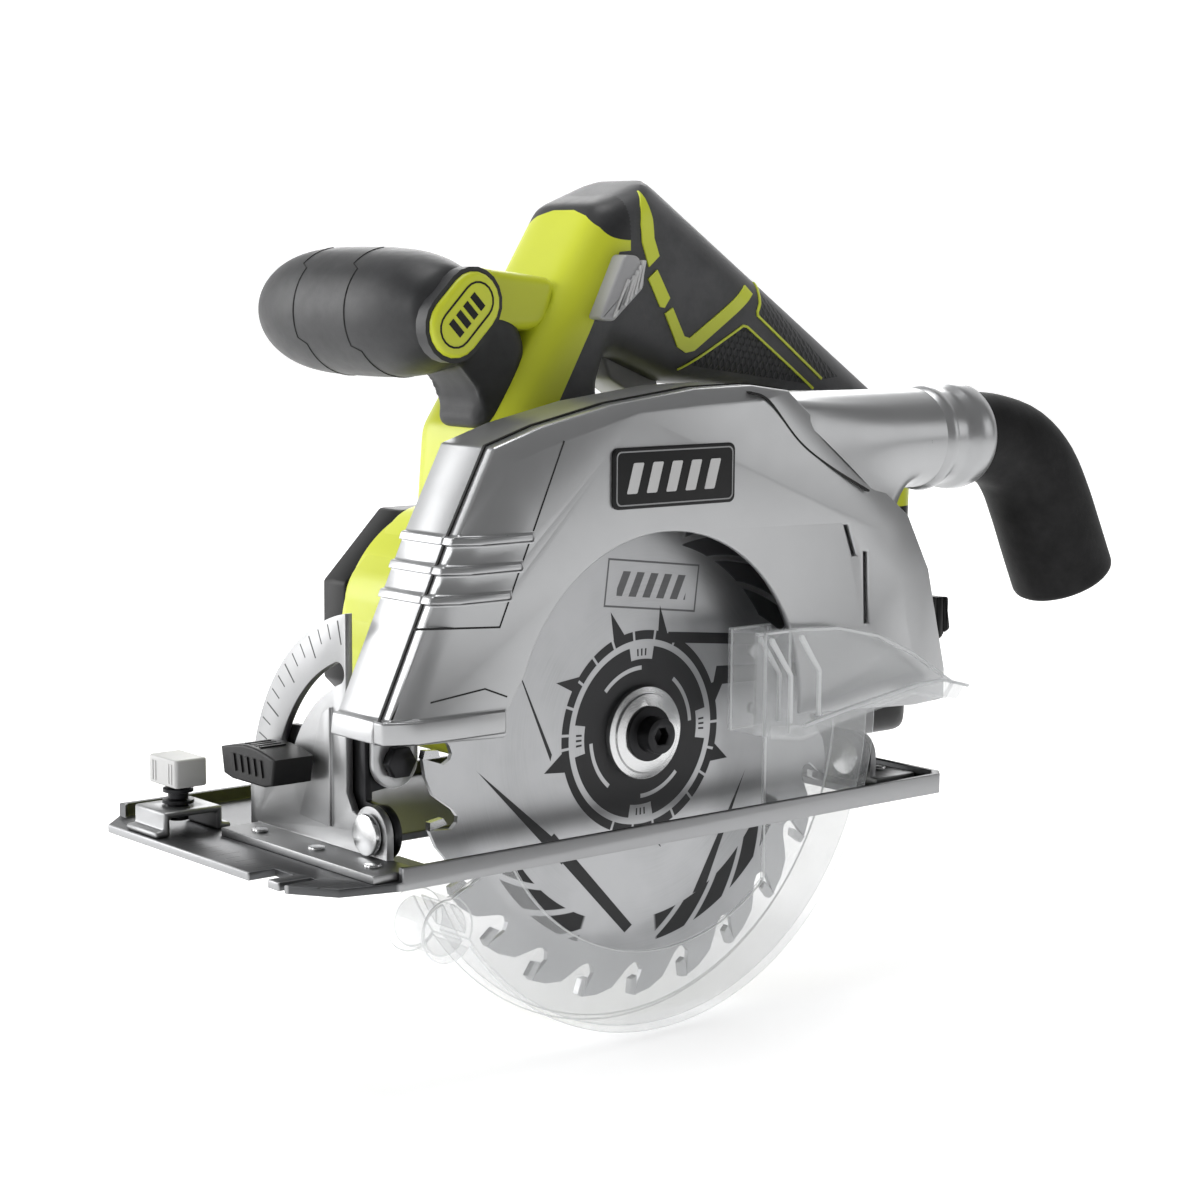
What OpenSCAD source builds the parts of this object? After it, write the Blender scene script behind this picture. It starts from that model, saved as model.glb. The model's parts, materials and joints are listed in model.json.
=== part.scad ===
// Cordless circular saw for a 165 mm blade, without its battery.
// Millimetres. The origin is the centre of the sole's underside: +X runs to the rear,
// +Y from the blade towards the motor, +Z up. The blade's side of the saw faces -Y.

/* [Blade] */
// Diameter of the saw blade
blade_d = 165; // [140:1:200]
// Thickness of the blade's plate
blade_t = 1.6; // [1.2:0.1:2.2]
// Number of teeth
teeth = 24; // [16:2:40]
// Diameter of the blade's bore
bore_d = 16; // [15:0.5:20]
// Deepest cut, measured from the sole
cut_depth = 52; // [38:1:62]

/* [Base] */
// Length of the sole
base_l = 248; // [206:1:300]
// Width of the sole
base_w = 125; // [110:1:150]
// Thickness of the sole's sheet
base_t = 2.5; // [2:0.1:4]
// Height of the turned-up rims above the sole's underside
rim_h = 6.5; // [5:0.5:9]
// Distance from the blade's middle to the near edge of the sole
near_edge = 20; // [19:0.5:24]
// Thickness of the bevel brackets' sheet
bracket_t = 2.5; // [2:0.1:3]
// Radius of the bevel brackets' pivot pins
pin_r = 4; // [3:0.1:5]
// Radius of the slot in the bevel quadrant
quadrant_r = 47; // [42:1:50]
// Largest bevel angle
bevel_max = 50; // [45:1:50]

/* [Upper guard] */
// Wall of the cast upper guard
guard_wall = 2.5; // [1.8:0.1:3]
// Distance from the blade's middle to the guard's near face
guard_near = 19; // [18:0.5:22]
// Distance from the blade's middle to the guard's far face
guard_far = 9.5; // [9:0.1:11]
// Radius of the arch that shows the blade
arch_r = 56.5; // [50:0.5:58]
// Outer radius of the dust spout
spout_r = 17.5; // [15:0.5:17.5]
// Wall of the dust spout and its elbow
spout_wall = 2.5; // [1.8:0.1:3]
// Angle that the dust elbow turns down
elbow_bend = 55; // [40:1:70]

/* [Lower guard] */
// Gap between the blade's teeth and the inside of the lower guard
tooth_gap = 6.5; // [5:0.5:7]
// Wall of the lower guard
lower_wall = 1.8; // [1.4:0.1:2]

/* [Gears] */
// Gear module
gear_m = 1; // [0.9:0.05:1.05]
// Teeth on the motor's pinion
pinion_n = 9; // [8:1:10]
// Teeth on the spindle's gear
gear_n = 39; // [36:1:40]
// Radius of the spindle
spindle_r = 6; // [5:0.5:7]

/* [Motor and housing] */
// Outer radius of the motor barrel
barrel_r = 40; // [38:0.5:46]
// Wall of the moulded housings
shell_t = 2.5; // [2:0.1:3]
// Outer radius of the motor's magnet ring
magnet_r = 27; // [24:0.5:30]
// Far end of the motor barrel, from the blade's middle
barrel_end = 95; // [92:1:110]
// Width of the main handle
handle_w = 43; // [38:1:46]
// Distance from the blade's middle to the middle of the main handle
handle_y = 43; // [42:0.5:50]

/* [Front handle] */
// Largest radius of the front handle
knob_r = 19.4; // [17:0.2:21]
// Length of the front handle's bar
knob_l = 97; // [80:1:110]

/* [Hidden] */
$fn = 48;
facets = 32;
blade_r = blade_d / 2;
arbor = [6, near_edge - base_w / 2, blade_r - cut_depth];
sole_z = -arbor[2];
deck_z = sole_z + base_t;
pivot_x = -blade_r - 3.5;
bevel_y = 3;
bevel_z = sole_z + 11.5;
play = 0.3;
slip = 0.05;

front_plate_x = -blade_r - 15.5;

base_front = -base_l / 2 - arbor[0];
base_rear = base_l / 2 - arbor[0];
base_far = base_w - near_edge;
lower_in = blade_r + tooth_gap;
lower_out = lower_in + lower_wall;
lower_near = -12;
lower_far = 6.3;
rear_plate_x = lower_out + 6;
rear_arm_x = rear_plate_x - 0.5 - bracket_t;
arm_r = 150;
arm_y = 18.5;
axis_gap = gear_m * (pinion_n + gear_n) / 2;
motor_x = -5;
motor_z = sqrt(axis_gap * axis_gap - motor_x * motor_x);
handle_near = handle_y - handle_w / 2;
handle_far = handle_y + handle_w / 2;
spout_z = blade_r + 3.5;
spout_end = 142;
spigot_r = spout_r - spout_wall - 0.1;
elbow_r = spout_r + 2;
gear_y = 18;
gear_w = 7;
gearcase_end = 36.5;
// The gear with its clearance, the gearcase's wall round it, and the housing's belly round that
gear_room = gear_m * (gear_n / 2 + 0.8) + 1;
belly_r = gear_room + 3.2 + shell_t;
front_bar = [-57, 127];
bar_near = 16;
lock_angle = 20;
quadrant_pin = [bevel_y, bevel_z];
lock_off_at = [9, 133];
elbow_turn = 28;
elbow_tail = 38;
fence_x = base_front + 14;
fence_y = base_far - 27;

// Everything is laid out from the blade's centre and then moved to the sole's frame.
module at_arbor() { translate(arbor) children(); }

// A side outline, drawn as x to the rear and z up, made solid between two distances along Y.
module side(y0, y1) { translate([0, y1, 0]) rotate([90, 0, 0]) linear_extrude(y1 - y0) children(); }

// A front outline, drawn as y and z, made solid between two distances along X.
module front(x0, x1) { translate([x0, 0, 0]) rotate([90, 0, 90]) linear_extrude(x1 - x0) children(); }

module rod_y(r, y0, y1, x = 0, z = 0) { side(y0, y1) translate([x, z]) circle(r); }
module rod_x(r, x0, x1, y = 0, z = 0) { front(x0, x1) translate([y, z]) circle(r); }
module ring_y(r_out, r_in, y0, y1, x = 0, z = 0) {
    side(y0, y1) translate([x, z]) difference() { circle(r_out); circle(r_in); }
}
module block(x0, x1, y0, y1, z0, z1) { translate([x0, y0, z0]) cube([x1 - x0, y1 - y0, z1 - z0]); }
function polar(r, a) = [r * cos(a), r * sin(a)];

// A pie slice that reaches past radius r, from angle a to angle b.
module slice(r, a, b) {
    n = ceil((b - a) / 30);
    polygon([[0, 0], for (i = [0:n]) polar(r * 1.3, a + (b - a) * i / n)]);
}
module arc_band(r_out, r_in, a, b) {
    intersection() {
        difference() { circle(r_out, $fn = 96); circle(r_in, $fn = 96); }
        slice(r_out, a, b);
    }
}

// Gear outline with straight-flanked teeth; one tooth points along +X when turn is 0.
module gear_outline(n, m, turn, add = 0.8, ded = 1.15) {
    root = m * (n / 2 - ded);
    tip = m * (n / 2 + add);
    step = 360 / n;
    polygon([for (k = [0:n - 1]) for (p = [[root, -0.27], [tip, -0.115], [tip, 0.115], [root, 0.27]])
        polar(p[0], turn + step * (k + p[1]))]);
}

// ---- Blade, spindle and gears ----

module saw_blade() {
    step = 360 / teeth;
    // Each tooth: its tip, its sloping back, the round gullet and the foot of the next face
    profile = [[0, 0], [1, 0.27], [3.2, 0.54], [6.5, 0.7], [9.4, 0.85], [10.5, 0.98], [9.8, 1.07],
               [7.5, 1.13]];
    color([0.72, 0.73, 0.74]) at_arbor() side(-blade_t / 2, blade_t / 2) difference() {
        polygon([for (k = [0:teeth - 1]) for (p = profile)
            polar(blade_r - p[0], 13.94 + step * (k + p[1]))]);
        circle(bore_d / 2);
    }
}

module spindle() {
    color("silver") at_arbor() difference() {
        union() {
            rod_y(bore_d / 2 - slip, -2.4, blade_t / 2);
            rod_y(spindle_r, blade_t / 2, 34);
        }
        rod_y(4, -3, 16);
    }
}

module spindle_gear() {
    color([0.55, 0.56, 0.58]) at_arbor() difference() {
        union() {
            side(gear_y, gear_y + gear_w) gear_outline(gear_n, gear_m, atan2(motor_z, motor_x));
            rod_y(spindle_r + 3, gear_y + gear_w - 1, gear_y + gear_w + 2);
        }
        rod_y(spindle_r, gear_y - 1, gear_y + gear_w + 3);
    }
}

module inner_flange() {
    color("silver") at_arbor() ring_y(16, spindle_r, blade_t / 2, 3.8);
}

module outer_flange() {
    color([0.8, 0.8, 0.82]) at_arbor() difference() {
        union() {
            rod_y(14.3, -3, -blade_t / 2);
            rod_y(12.2, -4, -3);
        }
        rod_y(bore_d / 2, -2.5, 0);
        rod_y(4.2, -5, 0);
    }
}

module blade_bolt() {
    color([0.15, 0.15, 0.15]) at_arbor() difference() {
        union() {
            rod_y(8.5, -5.2, -4);
            rod_y(5.5, -10.5, -5.2);
            rod_y(4 - slip, -4, 15);
        }
        side(-11, -7) circle(2.9, $fn = 6);
    }
}

// ---- Motor ----

module at_motor() { at_arbor() translate([motor_x, 0, motor_z]) children(); }

module motor_pinion() {
    mesh = 180 + atan2(motor_z, motor_x) + 180 / pinion_n;
    color([0.6, 0.6, 0.62]) at_motor() union() {
        side(gear_y - 1, gear_y + gear_w + 2) gear_outline(pinion_n, gear_m, mesh);
        rod_y(gear_m * pinion_n / 2 - 1.2, gear_y + gear_w + 2, 30);
    }
}

module armature_shaft() { color("silver") at_motor() rod_y(4, 30, 110); }

module armature_core() {
    slots = 12;
    color([0.35, 0.36, 0.38]) at_motor() side(56, 84) difference() {
        circle(magnet_r - 7);
        circle(4);
        for (k = [0:slots - 1]) rotate(360 / slots * k) translate([magnet_r - 12, 0]) circle(2.2);
        for (k = [0:slots - 1]) rotate(360 / slots * k) translate([magnet_r - 12, -0.9]) square([8, 1.8]);
    }
}

module armature_windings() {
    color([0.75, 0.4, 0.2]) at_motor() for (y = [[50, 56], [84, 89]]) ring_y(magnet_r - 9, 4, y[0], y[1]);
}

module commutator() {
    bars = 12;
    color([0.8, 0.5, 0.3]) at_motor() side(89.5, 99) difference() {
        circle(11);
        circle(4);
        for (k = [0:bars - 1]) rotate(360 / bars * k) translate([10, -0.3]) square([2, 0.6]);
    }
}

module cooling_fan() {
    blades = 12;
    color([0.1, 0.1, 0.1]) at_motor() difference() {
        union() {
            rod_y(magnet_r, 47, 48.5);
            for (k = [0:blades - 1]) rotate([0, 360 / blades * k, 0])
                block(9, magnet_r - 1, 44.6, 47.5, -0.7, 0.7);
            rod_y(8, 44.6, 48.5);
        }
        rod_y(4, 44, 49);
    }
}

module motor_magnets() {
    color([0.3, 0.3, 0.32]) at_motor() ring_y(magnet_r, magnet_r - 5.5, 51, 90);
}

module motor_bearings() {
    color("silver") at_motor() {
        ring_y(11, 4 + slip, 34, 41);
        ring_y(9, 4 + slip, 103, 109);
    }
}

module carbon_brushes() {
    color([0.2, 0.2, 0.2]) at_motor() difference() {
        union() {
            for (s = [-1, 1]) block(min(s * 11.3, s * 20), max(s * 11.3, s * 20), 91, 97, -3, 3);
            for (s = [-1, 1]) block(min(s * 20, s * 25), max(s * 20, s * 25), 90, 99, -5, 5);
        }
    }
}

module spindle_bearings() {
    color("silver") at_arbor() {
        ring_y(13, spindle_r + slip, 5.5, 13);
        ring_y(11, spindle_r + slip, 28, 34);
    }
}

module gearcase() {
    color([0.32, 0.33, 0.34]) at_arbor() difference() {
        union() {
            rod_y(18, 4.4, guard_far);
            rod_y(gear_room + 2.7, guard_far, gearcase_end);
            rod_y(14, guard_far, 42, motor_x, motor_z);
            rod_y(barrel_r - shell_t - 0.4, 38, 42, motor_x, motor_z);
            side(guard_far, gearcase_end) polygon([[-14, 0], [14, 0], [9, motor_z], [-19, motor_z]]);
            // Boss for the spindle lock's pin
            rod_x(5, -gear_room - 6, -gear_room, gear_y + gear_w / 2);
        }
        rod_y(13, 4, 13);
        rod_y(11, 28, 34);
        rod_y(spindle_r + 1, 3, 35);
        rod_y(gear_room, gear_y - 1.5, gear_y + gear_w + 2.5);
        rod_y(gear_m * pinion_n / 2 + 2, gear_y - 1.5, 43, motor_x, motor_z);
        rod_y(11, 34, 43, motor_x, motor_z);
        rod_x(2.5 + slip, -gear_room - 7, -gear_room + 2, gear_y + gear_w / 2);
    }
}

module motor_end_cap() {
    vents = 10;
    color([0.12, 0.12, 0.12]) at_motor() difference() {
        union() {
            side(barrel_end, barrel_end + 13) rotate(22.5) circle(barrel_r + 1.5, $fn = 8);
            side(barrel_end + 13, barrel_end + 20) rotate(22.5) circle(barrel_r - 5, $fn = 8);
        }
        rod_y(barrel_r - shell_t - 2, barrel_end - 1, barrel_end + 11);
        for (k = [1:vents - 1]) rotate([0, 360 / vents * k + 18, 0])
            block(14, 29, barrel_end + 9, barrel_end + 21, -2, 2);
        rod_y(9, 103, 109);
        rod_y(4.6, 108, 111);
    }
    color([0.12, 0.12, 0.12]) at_motor() difference() {
        rod_y(12, 104, barrel_end + 15);
        rod_y(9, 103, 109);
        rod_y(4.6, 108, 111);
    }
}

// ---- Upper guard ----

// Outline points of the guard as [angle, gap beyond the blade's radius].
RIM = [[171.5, 23.5], [156, 19], [141.5, 22], [127, 31], [118.5, 26.5], [104, 22], [86, 23],
       [74, 27.5], [66, 31], [31.5, 36], [21.5, 37], [11.5, 36], [0, 37.5]];
FACE = [[170, 15], [153.5, 10], [127, 25], [116, 20], [100, 18], [86.5, 18], [73.5, 23], [70, 22],
        [51.5, 16], [33.5, 22], [24, 20.5], [10, 19], [0, 20.5]];

function outline(points, inset) = [for (p = points) polar(blade_r + p[1] - inset, p[0])];
module guard_slab(points, inset, y0, y1, low) {
    rim = outline(points, inset);
    side(y0, y1) polygon(concat(rim, [[rim[len(rim) - 1][0], low], [rim[0][0] - (low < 0 ? 0 : 0.8), low]]));
}
module guard_envelope(grow) {
    hull() {
        guard_slab(RIM, -grow, -15.5, -11, 10 - 10 * grow);
        guard_slab(FACE, -grow, -guard_near - grow / 2, -guard_near + 1, 10 - 10 * grow);
    }
}
module guard_inside() {
    hull() {
        guard_slab(RIM, guard_wall, -15, -10.5, -40);
        guard_slab(FACE, guard_wall, -guard_near + guard_wall - 0.5, -guard_near + guard_wall + 1, -40);
    }
}
// Line along which the spout leaves the guard, and the passage through it
module spout_foot(inset, y0, y1) {
    a = polar(blade_r + 31 - inset * 1.4, 65.5 - inset * 0.4);
    b = polar(blade_r + 36 - inset * 1.4, 32 + inset * 0.9);
    side(y0, y1) polygon([a, b, b - [9, 10], a - [9, 10]]);
}
module spout_passage() {
    hull() {
        spout_foot(3, -12, guard_far - guard_wall);
        rod_x(spout_r - spout_wall, 97, 99, 0, spout_z, $fn = facets);
    }
    rod_x(spout_r - spout_wall, 98, spout_end + 1, 0, spout_z);
}
module arch() {
    circle_at = [-6.2, 6.9];
    translate(circle_at) circle(arch_r);
    polygon([[-arch_r - 10, -45], [-arch_r - 10, 15], [-arch_r + 4, 36], [0, 36],
             [arch_r - 10, 27], [arch_r - 7, 10], [arch_r - 7, -45]]);
}

module upper_guard_outer() {
    color([0.68, 0.69, 0.7]) at_arbor() difference() {
        union() {
            guard_envelope(0);
            // Three ribs that wrap the front edge, and the lip round its foot
            for (z = [65, 57, 49]) intersection() {
                guard_envelope(1.2);
                block(-120, -57 - (65 - z) / 2, -25, -11, z - 1.2, z + 1.2);
            }
            intersection() {
                guard_envelope(2);
                block(-120, -67, -25, -11, 10, 16.5);
            }
        }
        guard_inside();
        side(-guard_near - 3, -12) arch();
        spout_passage();
        // Two narrow slots near the rear corner
        for (s = [[68, 51, 73, 61], [77, 29, 79, 52]]) side(-guard_near - 1, -guard_near + 3)
            polygon([[s[0], s[3]], [s[2] - 1, s[1]], [s[2] + 1, s[1]], [s[0] + 2, s[3]]]);
    }
}

module upper_guard_inner() {
    color([0.66, 0.67, 0.68]) at_arbor() difference() {
        union() {
            difference() {
                guard_slab(RIM, 0, -11, guard_far, 10);
                guard_slab(RIM, guard_wall, -12, guard_far - 2.2, -40);
            }
            side(guard_far - 2.2, guard_far) circle(28);
            // Lugs for the depth pivot at the front and the depth lock at the rear
            for (lug = [[pivot_x, 0, 18], [pivot_x + arm_r, 0, 12]]) side(guard_far - 2.2, guard_far) {
                translate([lug[0], 0]) circle(8);
                translate([lug[0] - 8, 0]) square([16, lug[2]]);
            }
            for (z = [65, 57, 49]) intersection() {
                guard_slab(RIM, -1.2, -11, guard_far, 10);
                block(-120, -57 - (65 - z) / 2, -11, guard_far, z - 1.2, z + 1.2);
                difference() {
                    block(-120, 0, -11, guard_far, 40, 70);
                    guard_slab(RIM, 0.5, -12, guard_far + 1, -40);
                }
            }
            difference() {
                intersection() {
                    guard_slab(RIM, -1.6, -11, guard_far, 9.9);
                    block(-120, -88, -11, guard_far, 10, 16.5);
                }
                guard_slab(RIM, guard_wall, -12, guard_far - 2.2, -40);
            }
        }
        rod_y(18 + slip, 0, guard_far + 1);
        ring_y(20.7, 18, guard_far - 3, guard_far - 0.7);
        rod_y(4 + slip, 0, 20, pivot_x, 0);
        rod_y(4, 0, 20, pivot_x + arm_r, 0);
        spout_passage();
        guard_screw_places() rod_y(2.2, 0, 20);
    }
}
module guard_screw_places() {
    for (a = [50, 130, 230, 310]) translate([24.3 * cos(a), 0, 24.3 * sin(a)]) children();
}

module guard_badge() {
    color([0.05, 0.05, 0.05]) at_arbor() side(-guard_near - 0.8, -guard_near) union() {
        translate([-28, 73]) square([48, 14]);
        translate([-26, 71]) square([44, 18]);
        for (x = [-26, 18]) for (z = [73, 87]) translate([x, z]) circle(2);
    }
}

module dust_spout() {
    color([0.68, 0.69, 0.7]) at_arbor() difference() {
        union() {
            hull() {
                spout_foot(0.4, -14.5, guard_far);
                rod_x(spout_r, 99, 100, 0, spout_z, $fn = facets);
            }
            rod_x(spout_r, 99.5, spout_end, 0, spout_z);
            rod_x(spout_r + 1, 115, 118, 0, spout_z);
            rod_x(spout_r + 1.3, spout_end - 5, spout_end, 0, spout_z);
        }
        guard_envelope(0);
        guard_slab(RIM, 0, -12, guard_far + 0.1, 10);
        spout_passage();
    }
}

// The elbow's bend and its straight tail, which share one ring-shaped section.
module elbow_section() { difference() { circle(elbow_r); circle(elbow_r - 3); } }
module dust_elbow() {
    inner = spigot_r - 2;
    color([0.08, 0.08, 0.08]) at_arbor() union() {
        front(spout_end - 18, spout_end + 3) translate([0, spout_z]) difference() {
            circle(spigot_r);
            circle(inner);
        }
        front(spout_end + 0.5, spout_end + 3) translate([0, spout_z]) difference() {
            circle(elbow_r);
            circle(inner);
        }
        front(spout_end + 3, spout_end + 8) translate([0, spout_z]) elbow_section();
        translate([spout_end + 8, 0, spout_z - elbow_turn]) {
            rotate([90, 0, 0]) rotate([0, 0, 90 - elbow_bend])
                rotate_extrude(angle = elbow_bend) translate([elbow_turn, 0]) elbow_section();
            translate([elbow_turn * sin(elbow_bend), 0, elbow_turn * cos(elbow_bend)])
                rotate([0, 90 + elbow_bend, 0]) linear_extrude(elbow_tail) elbow_section();
        }
    }
}

module guard_spring() {
    color([0.4, 0.4, 0.42]) at_arbor() translate([0, guard_far - 1.5, 0])
        rotate([90, 0, 0]) rotate_extrude() translate([19.6, 0]) circle(0.7, $fn = 16);
}

// ---- Lower guard ----

module lower_guard() {
    from = 205;
    to = 390;
    nose_r = 9.5;
    nose = polar(blade_r + nose_r + 2, from + 5);
    color([0.85, 0.88, 0.9, 0.4]) at_arbor() union() {
        side(lower_near, lower_far) arc_band(lower_out, lower_in, from, to);
        side(lower_near, lower_near + lower_wall) union() {
            arc_band(lower_out, blade_r - 17, from, 320);
            difference() {
                arc_band(lower_out, 30, 270, to);
                translate([-100, -100]) square([142, 200]);
            }
            translate([27, -1]) square([17, 32]);
        }
        side(lower_far - lower_wall, lower_far) union() {
            arc_band(lower_out, blade_r - 17, from, to);
            arc_band(lower_out - 1, 20, 285, 335);
        }
        ring_y(22.5, 18 + slip, 4.5, 7);
        // Rounded nose that closes the front end
        side(lower_near, lower_far) translate(nose) difference() {
            circle(nose_r);
            circle(nose_r - lower_wall);
        }
        for (y = [lower_near, lower_far - lower_wall])
            side(y, y + lower_wall) translate(nose) circle(nose_r);
    }
}

module guard_lever() {
    y_out = -30;
    color([0.85, 0.88, 0.9, 0.5]) at_arbor() difference() {
        union() {
            block(27, 38, y_out + 3, lower_near, -1, 31);
            // Dished tray with an upturned tip
            side(y_out + 4, -guard_near - 3) polygon([[27, -1], [27, 31], [44, 31], [62, 30], [80, 26],
                [96, 19], [117, 7], [112, 1], [92, 6], [60, 1], [41, -3]]);
            side(y_out, y_out + 4) polygon([[27, -1], [41, -3], [60, 1], [92, 6], [112, 1], [117, 7],
                [104, 10], [92, 9.5], [60, 5], [42, 1.5], [27, 3]]);
        }
        block(29, 36, y_out, lower_near - 3, 1.5, 32);
        side(y_out + 4, -guard_near - 5) polygon([[40, 1.5], [40, 40], [62, 40], [120, 20], [104, 10],
            [92, 9.5], [60, 5], [42, 1.5]]);
    }
}

module lever_screws() {
    color("silver") at_arbor() for (z = [6, 24]) rod_y(1.8, lower_near - 4.5, lower_near - 3, 32.5, z);
}

// ---- Housing ----

// Side outline of the column, grip and rear block
module handle_outline() {
    polygon([[-44, 40], [-40, 92], [-10, 137], [2, 157], [14, 166], [29, 168.5], [43, 161], [84, 138],
             [137, 100], [147, 88], [150, 74], [149, 34], [154, 28], [154, -14], [147, -22], [97, -22],
             [92, -10], [60, -10], [10, 0], [-30, 10]]);
}
module finger_hole() {
    polygon([[14, 71], [5, 98], [4.5, 110], [10, 115.5], [23, 111], [34, 105], [62, 102], [104, 88],
             [114, 76], [116, 66], [106, 42], [62, 31], [38, 56]]);
}
module handle_solid(inset, y0, y1) {
    side(y0, y1) difference() {
        offset(delta = -inset) handle_outline();
        offset(delta = inset) finger_hole();
    }
}
// Skin of the given depth over a stretch of the handle
module handle_skin(depth) {
    difference() {
        union() {
            handle_solid(0, handle_near + 3, handle_far - 3);
            handle_solid(3, handle_near, handle_far);
        }
        handle_solid(depth, handle_near + 3 + depth, handle_far - 3 - depth);
        handle_solid(3 + depth, handle_near + depth, handle_far - depth);
    }
}
module grip_zone() {
    side(0, 100) polygon([[34, 100], [34, 175], [160, 175], [160, 96], [118, 76], [60, 98]]);
}
module nose_zone() {
    side(0, 100) polygon([[-2, 156], [12, 148], [30, 152], [33.8, 152], [33.8, 175], [-10, 175]]);
}

module switch_slot() { block(9, 46, handle_y - 9, handle_y + 9, 98, 138); }
module battery_socket() { block(104, 160, handle_y - 15, handle_y + 15, -16, 18); }

module housing_body() {
    difference() {
        union() {
            difference() {
                union() {
                    handle_solid(0, handle_near + 3, handle_far - 3);
                    handle_solid(3, handle_near, handle_far);
                }
                handle_solid(shell_t + 2, handle_near + shell_t + 2, handle_far - shell_t - 2);
            }
            side(handle_near, handle_far) translate([101.5, -19]) square([51.5, 40]);
        }
        rod_y(barrel_r, 13, barrel_end + 1, motor_x, motor_z);
        rod_y(belly_r, 13, gearcase_end + 2.5);
        intersection() { handle_skin(2); union() { grip_zone(); nose_zone(); } }
        switch_slot();
        battery_socket();
        rod_y(6.4, 10, 26, lock_off_at[0], lock_off_at[1]);
        block(-60, -38, handle_y - 13, handle_y + 13, 92, 142);
        housing_screw_places() {
            rod_y(1.6, handle_y - 12, handle_far - 3);
            rod_y(3.1, handle_far - 3, handle_far + 1);
        }
        rod_y(7.5, 20, arm_y + 6, pivot_x + arm_r, 0);
        side(handle_near - 1, handle_near + 3.4)
            translate(lock_off_at) rotate(-22) square([10.8, 19.8], center = true);
    }
    housing_screw_places() ring_y(3.6, 1.6, handle_near + shell_t, handle_far - 3);
}
module housing_screw_places() {
    for (p = [[-22, 98], [-8, 124], [141, 79], [142, 50], [72, 10]]) translate([p[0], 0, p[1]]) children();
}

// The motor's barrel with its belly round the gearcase, and the ribs that hold the magnet ring
module motor_housing() {
    color([0.75, 0.84, 0.15]) at_arbor() union() {
        difference() {
            union() {
                rod_y(barrel_r, 14, barrel_end, motor_x, motor_z);
                rod_y(belly_r, 14, gearcase_end + 2.5);
            }
            rod_y(barrel_r - shell_t, 13, barrel_end + 1, motor_x, motor_z);
            rod_y(belly_r - shell_t, 13, gearcase_end + 0.4);
            rod_x(6.6, -60, -20, gear_y + gear_w / 2);
        }
        for (y = [[53, 55], [84, 86]])
            ring_y(barrel_r - shell_t + 0.2, magnet_r, y[0], y[1], motor_x, motor_z);
    }
}
module housing_left() {
    color([0.75, 0.84, 0.15]) at_arbor() intersection() {
        housing_body();
        block(-100, 200, 0, handle_y, -60, 200);
    }
}
module housing_right() {
    color([0.75, 0.84, 0.15]) at_arbor() intersection() {
        housing_body();
        block(-100, 200, handle_y, 150, -60, 200);
    }
}
module grip_overmould() {
    color([0.28, 0.28, 0.29]) at_arbor() difference() {
        intersection() { handle_skin(2); grip_zone(); }
        switch_slot();
    }
}
module nose_cap() {
    color([0.15, 0.15, 0.15]) at_arbor() intersection() { handle_skin(2); nose_zone(); }
}

// ---- Front handle ----

function knob_radius(t) = knob_r * (1 - 0.34 * t * t * t * t - 0.08 * t * t);
// The lime core: a spigot inside the bar, the arm on top and the tongue in the column
module front_core() {
    rod_y(10, 21.5, 107, front_bar[0], front_bar[1]);
    side(27, 59) polygon([[-57, 125], [-52, 137], [-40, 140.5], [-12, 136], [-17, 125]]);
    block(-40, -36, handle_y - 12.5, handle_y + 12.5, 96, 125);
}
module front_handle_grip() {
    steps = 12;
    color([0.25, 0.25, 0.26]) at_arbor() difference() {
        union() {
            translate([front_bar[0], bar_near + knob_l, front_bar[1]]) rotate([90, 0, 0]) rotate_extrude()
                polygon([[0, 0], for (i = [0:steps]) [knob_radius(2 * i / steps - 1), knob_l * i / steps],
                         [0, knob_l]]);
            hull() {
                rod_y(12, 20, 50, front_bar[0] + 6, front_bar[1] - 3, $fn = facets);
                side(26, 56) polygon([[-37, 93], [-50, 94], [-49, 106], [-38, 124], [-17, 124]]);
            }
        }
        front_core();
        handle_solid(0, 0, 100);
    }
}
module front_handle_arm() {
    color([0.75, 0.84, 0.15]) at_arbor() difference() {
        front_core();
        difference() {
            handle_solid(0, 0, 100);
            block(-60, -38, handle_y - 13, handle_y + 13, 92, 142);
        }
    }
}
module front_handle_cap() {
    color([0.78, 0.86, 0.2]) at_arbor() translate([front_bar[0], 0, front_bar[1]]) rotate([0, -45, 0])
        side(bar_near - 3.5, bar_near - 0.1) union() {
            translate([-4, -6]) square([8, 12]);
            translate([-7, -10]) square([14, 20]);
            for (x = [-6, 6]) translate([x, 0]) circle(10);
        }
}

// ---- Controls and electrics ----

module trigger() {
    color([0.45, 0.45, 0.46]) at_arbor() difference() {
        union() {
            side(handle_y - 8, handle_y + 8) polygon([[13, 127], [13, 116], [17, 106], [26, 100.5], [35, 99],
                [38, 101], [36, 107], [34, 116], [36, 127], [25, 131]]);
            rod_y(2.5, handle_y - 8.8, handle_y + 8.8, 17, 124);
        }
    }
}
module lock_off_button() {
    color([0.6, 0.6, 0.6]) at_arbor() difference() {
        union() {
            rod_y(6, handle_near - 3.5, 30, lock_off_at[0], lock_off_at[1]);
            side(handle_near - 5.5, handle_near - 0.3)
                translate(lock_off_at) rotate(-22) square([10, 19], center = true);
        }
        for (k = [-3:2]) translate([lock_off_at[0], 0, lock_off_at[1]]) rotate([0, 22, 0])
            block(-6, 6, handle_near - 6, handle_near - 4.8, 3 * k, 3 * k + 1.2);
    }
}
module spindle_lock_button() {
    color([0.1, 0.1, 0.1]) at_arbor() {
        rod_x(2.5, -gear_room - 19, -gear_room - 0.9, gear_y + gear_w / 2);
        rod_x(6, -gear_room - 26, -gear_room - 18.5, gear_y + gear_w / 2);
    }
}
module switch_module() {
    color([0.2, 0.2, 0.2]) at_arbor() difference() {
        block(46, 76, handle_y - 9, handle_y + 9, 117, 133);
        block(40, 90, handle_y - 7, handle_y + 7, 102, 118.5);
    }
}
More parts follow.
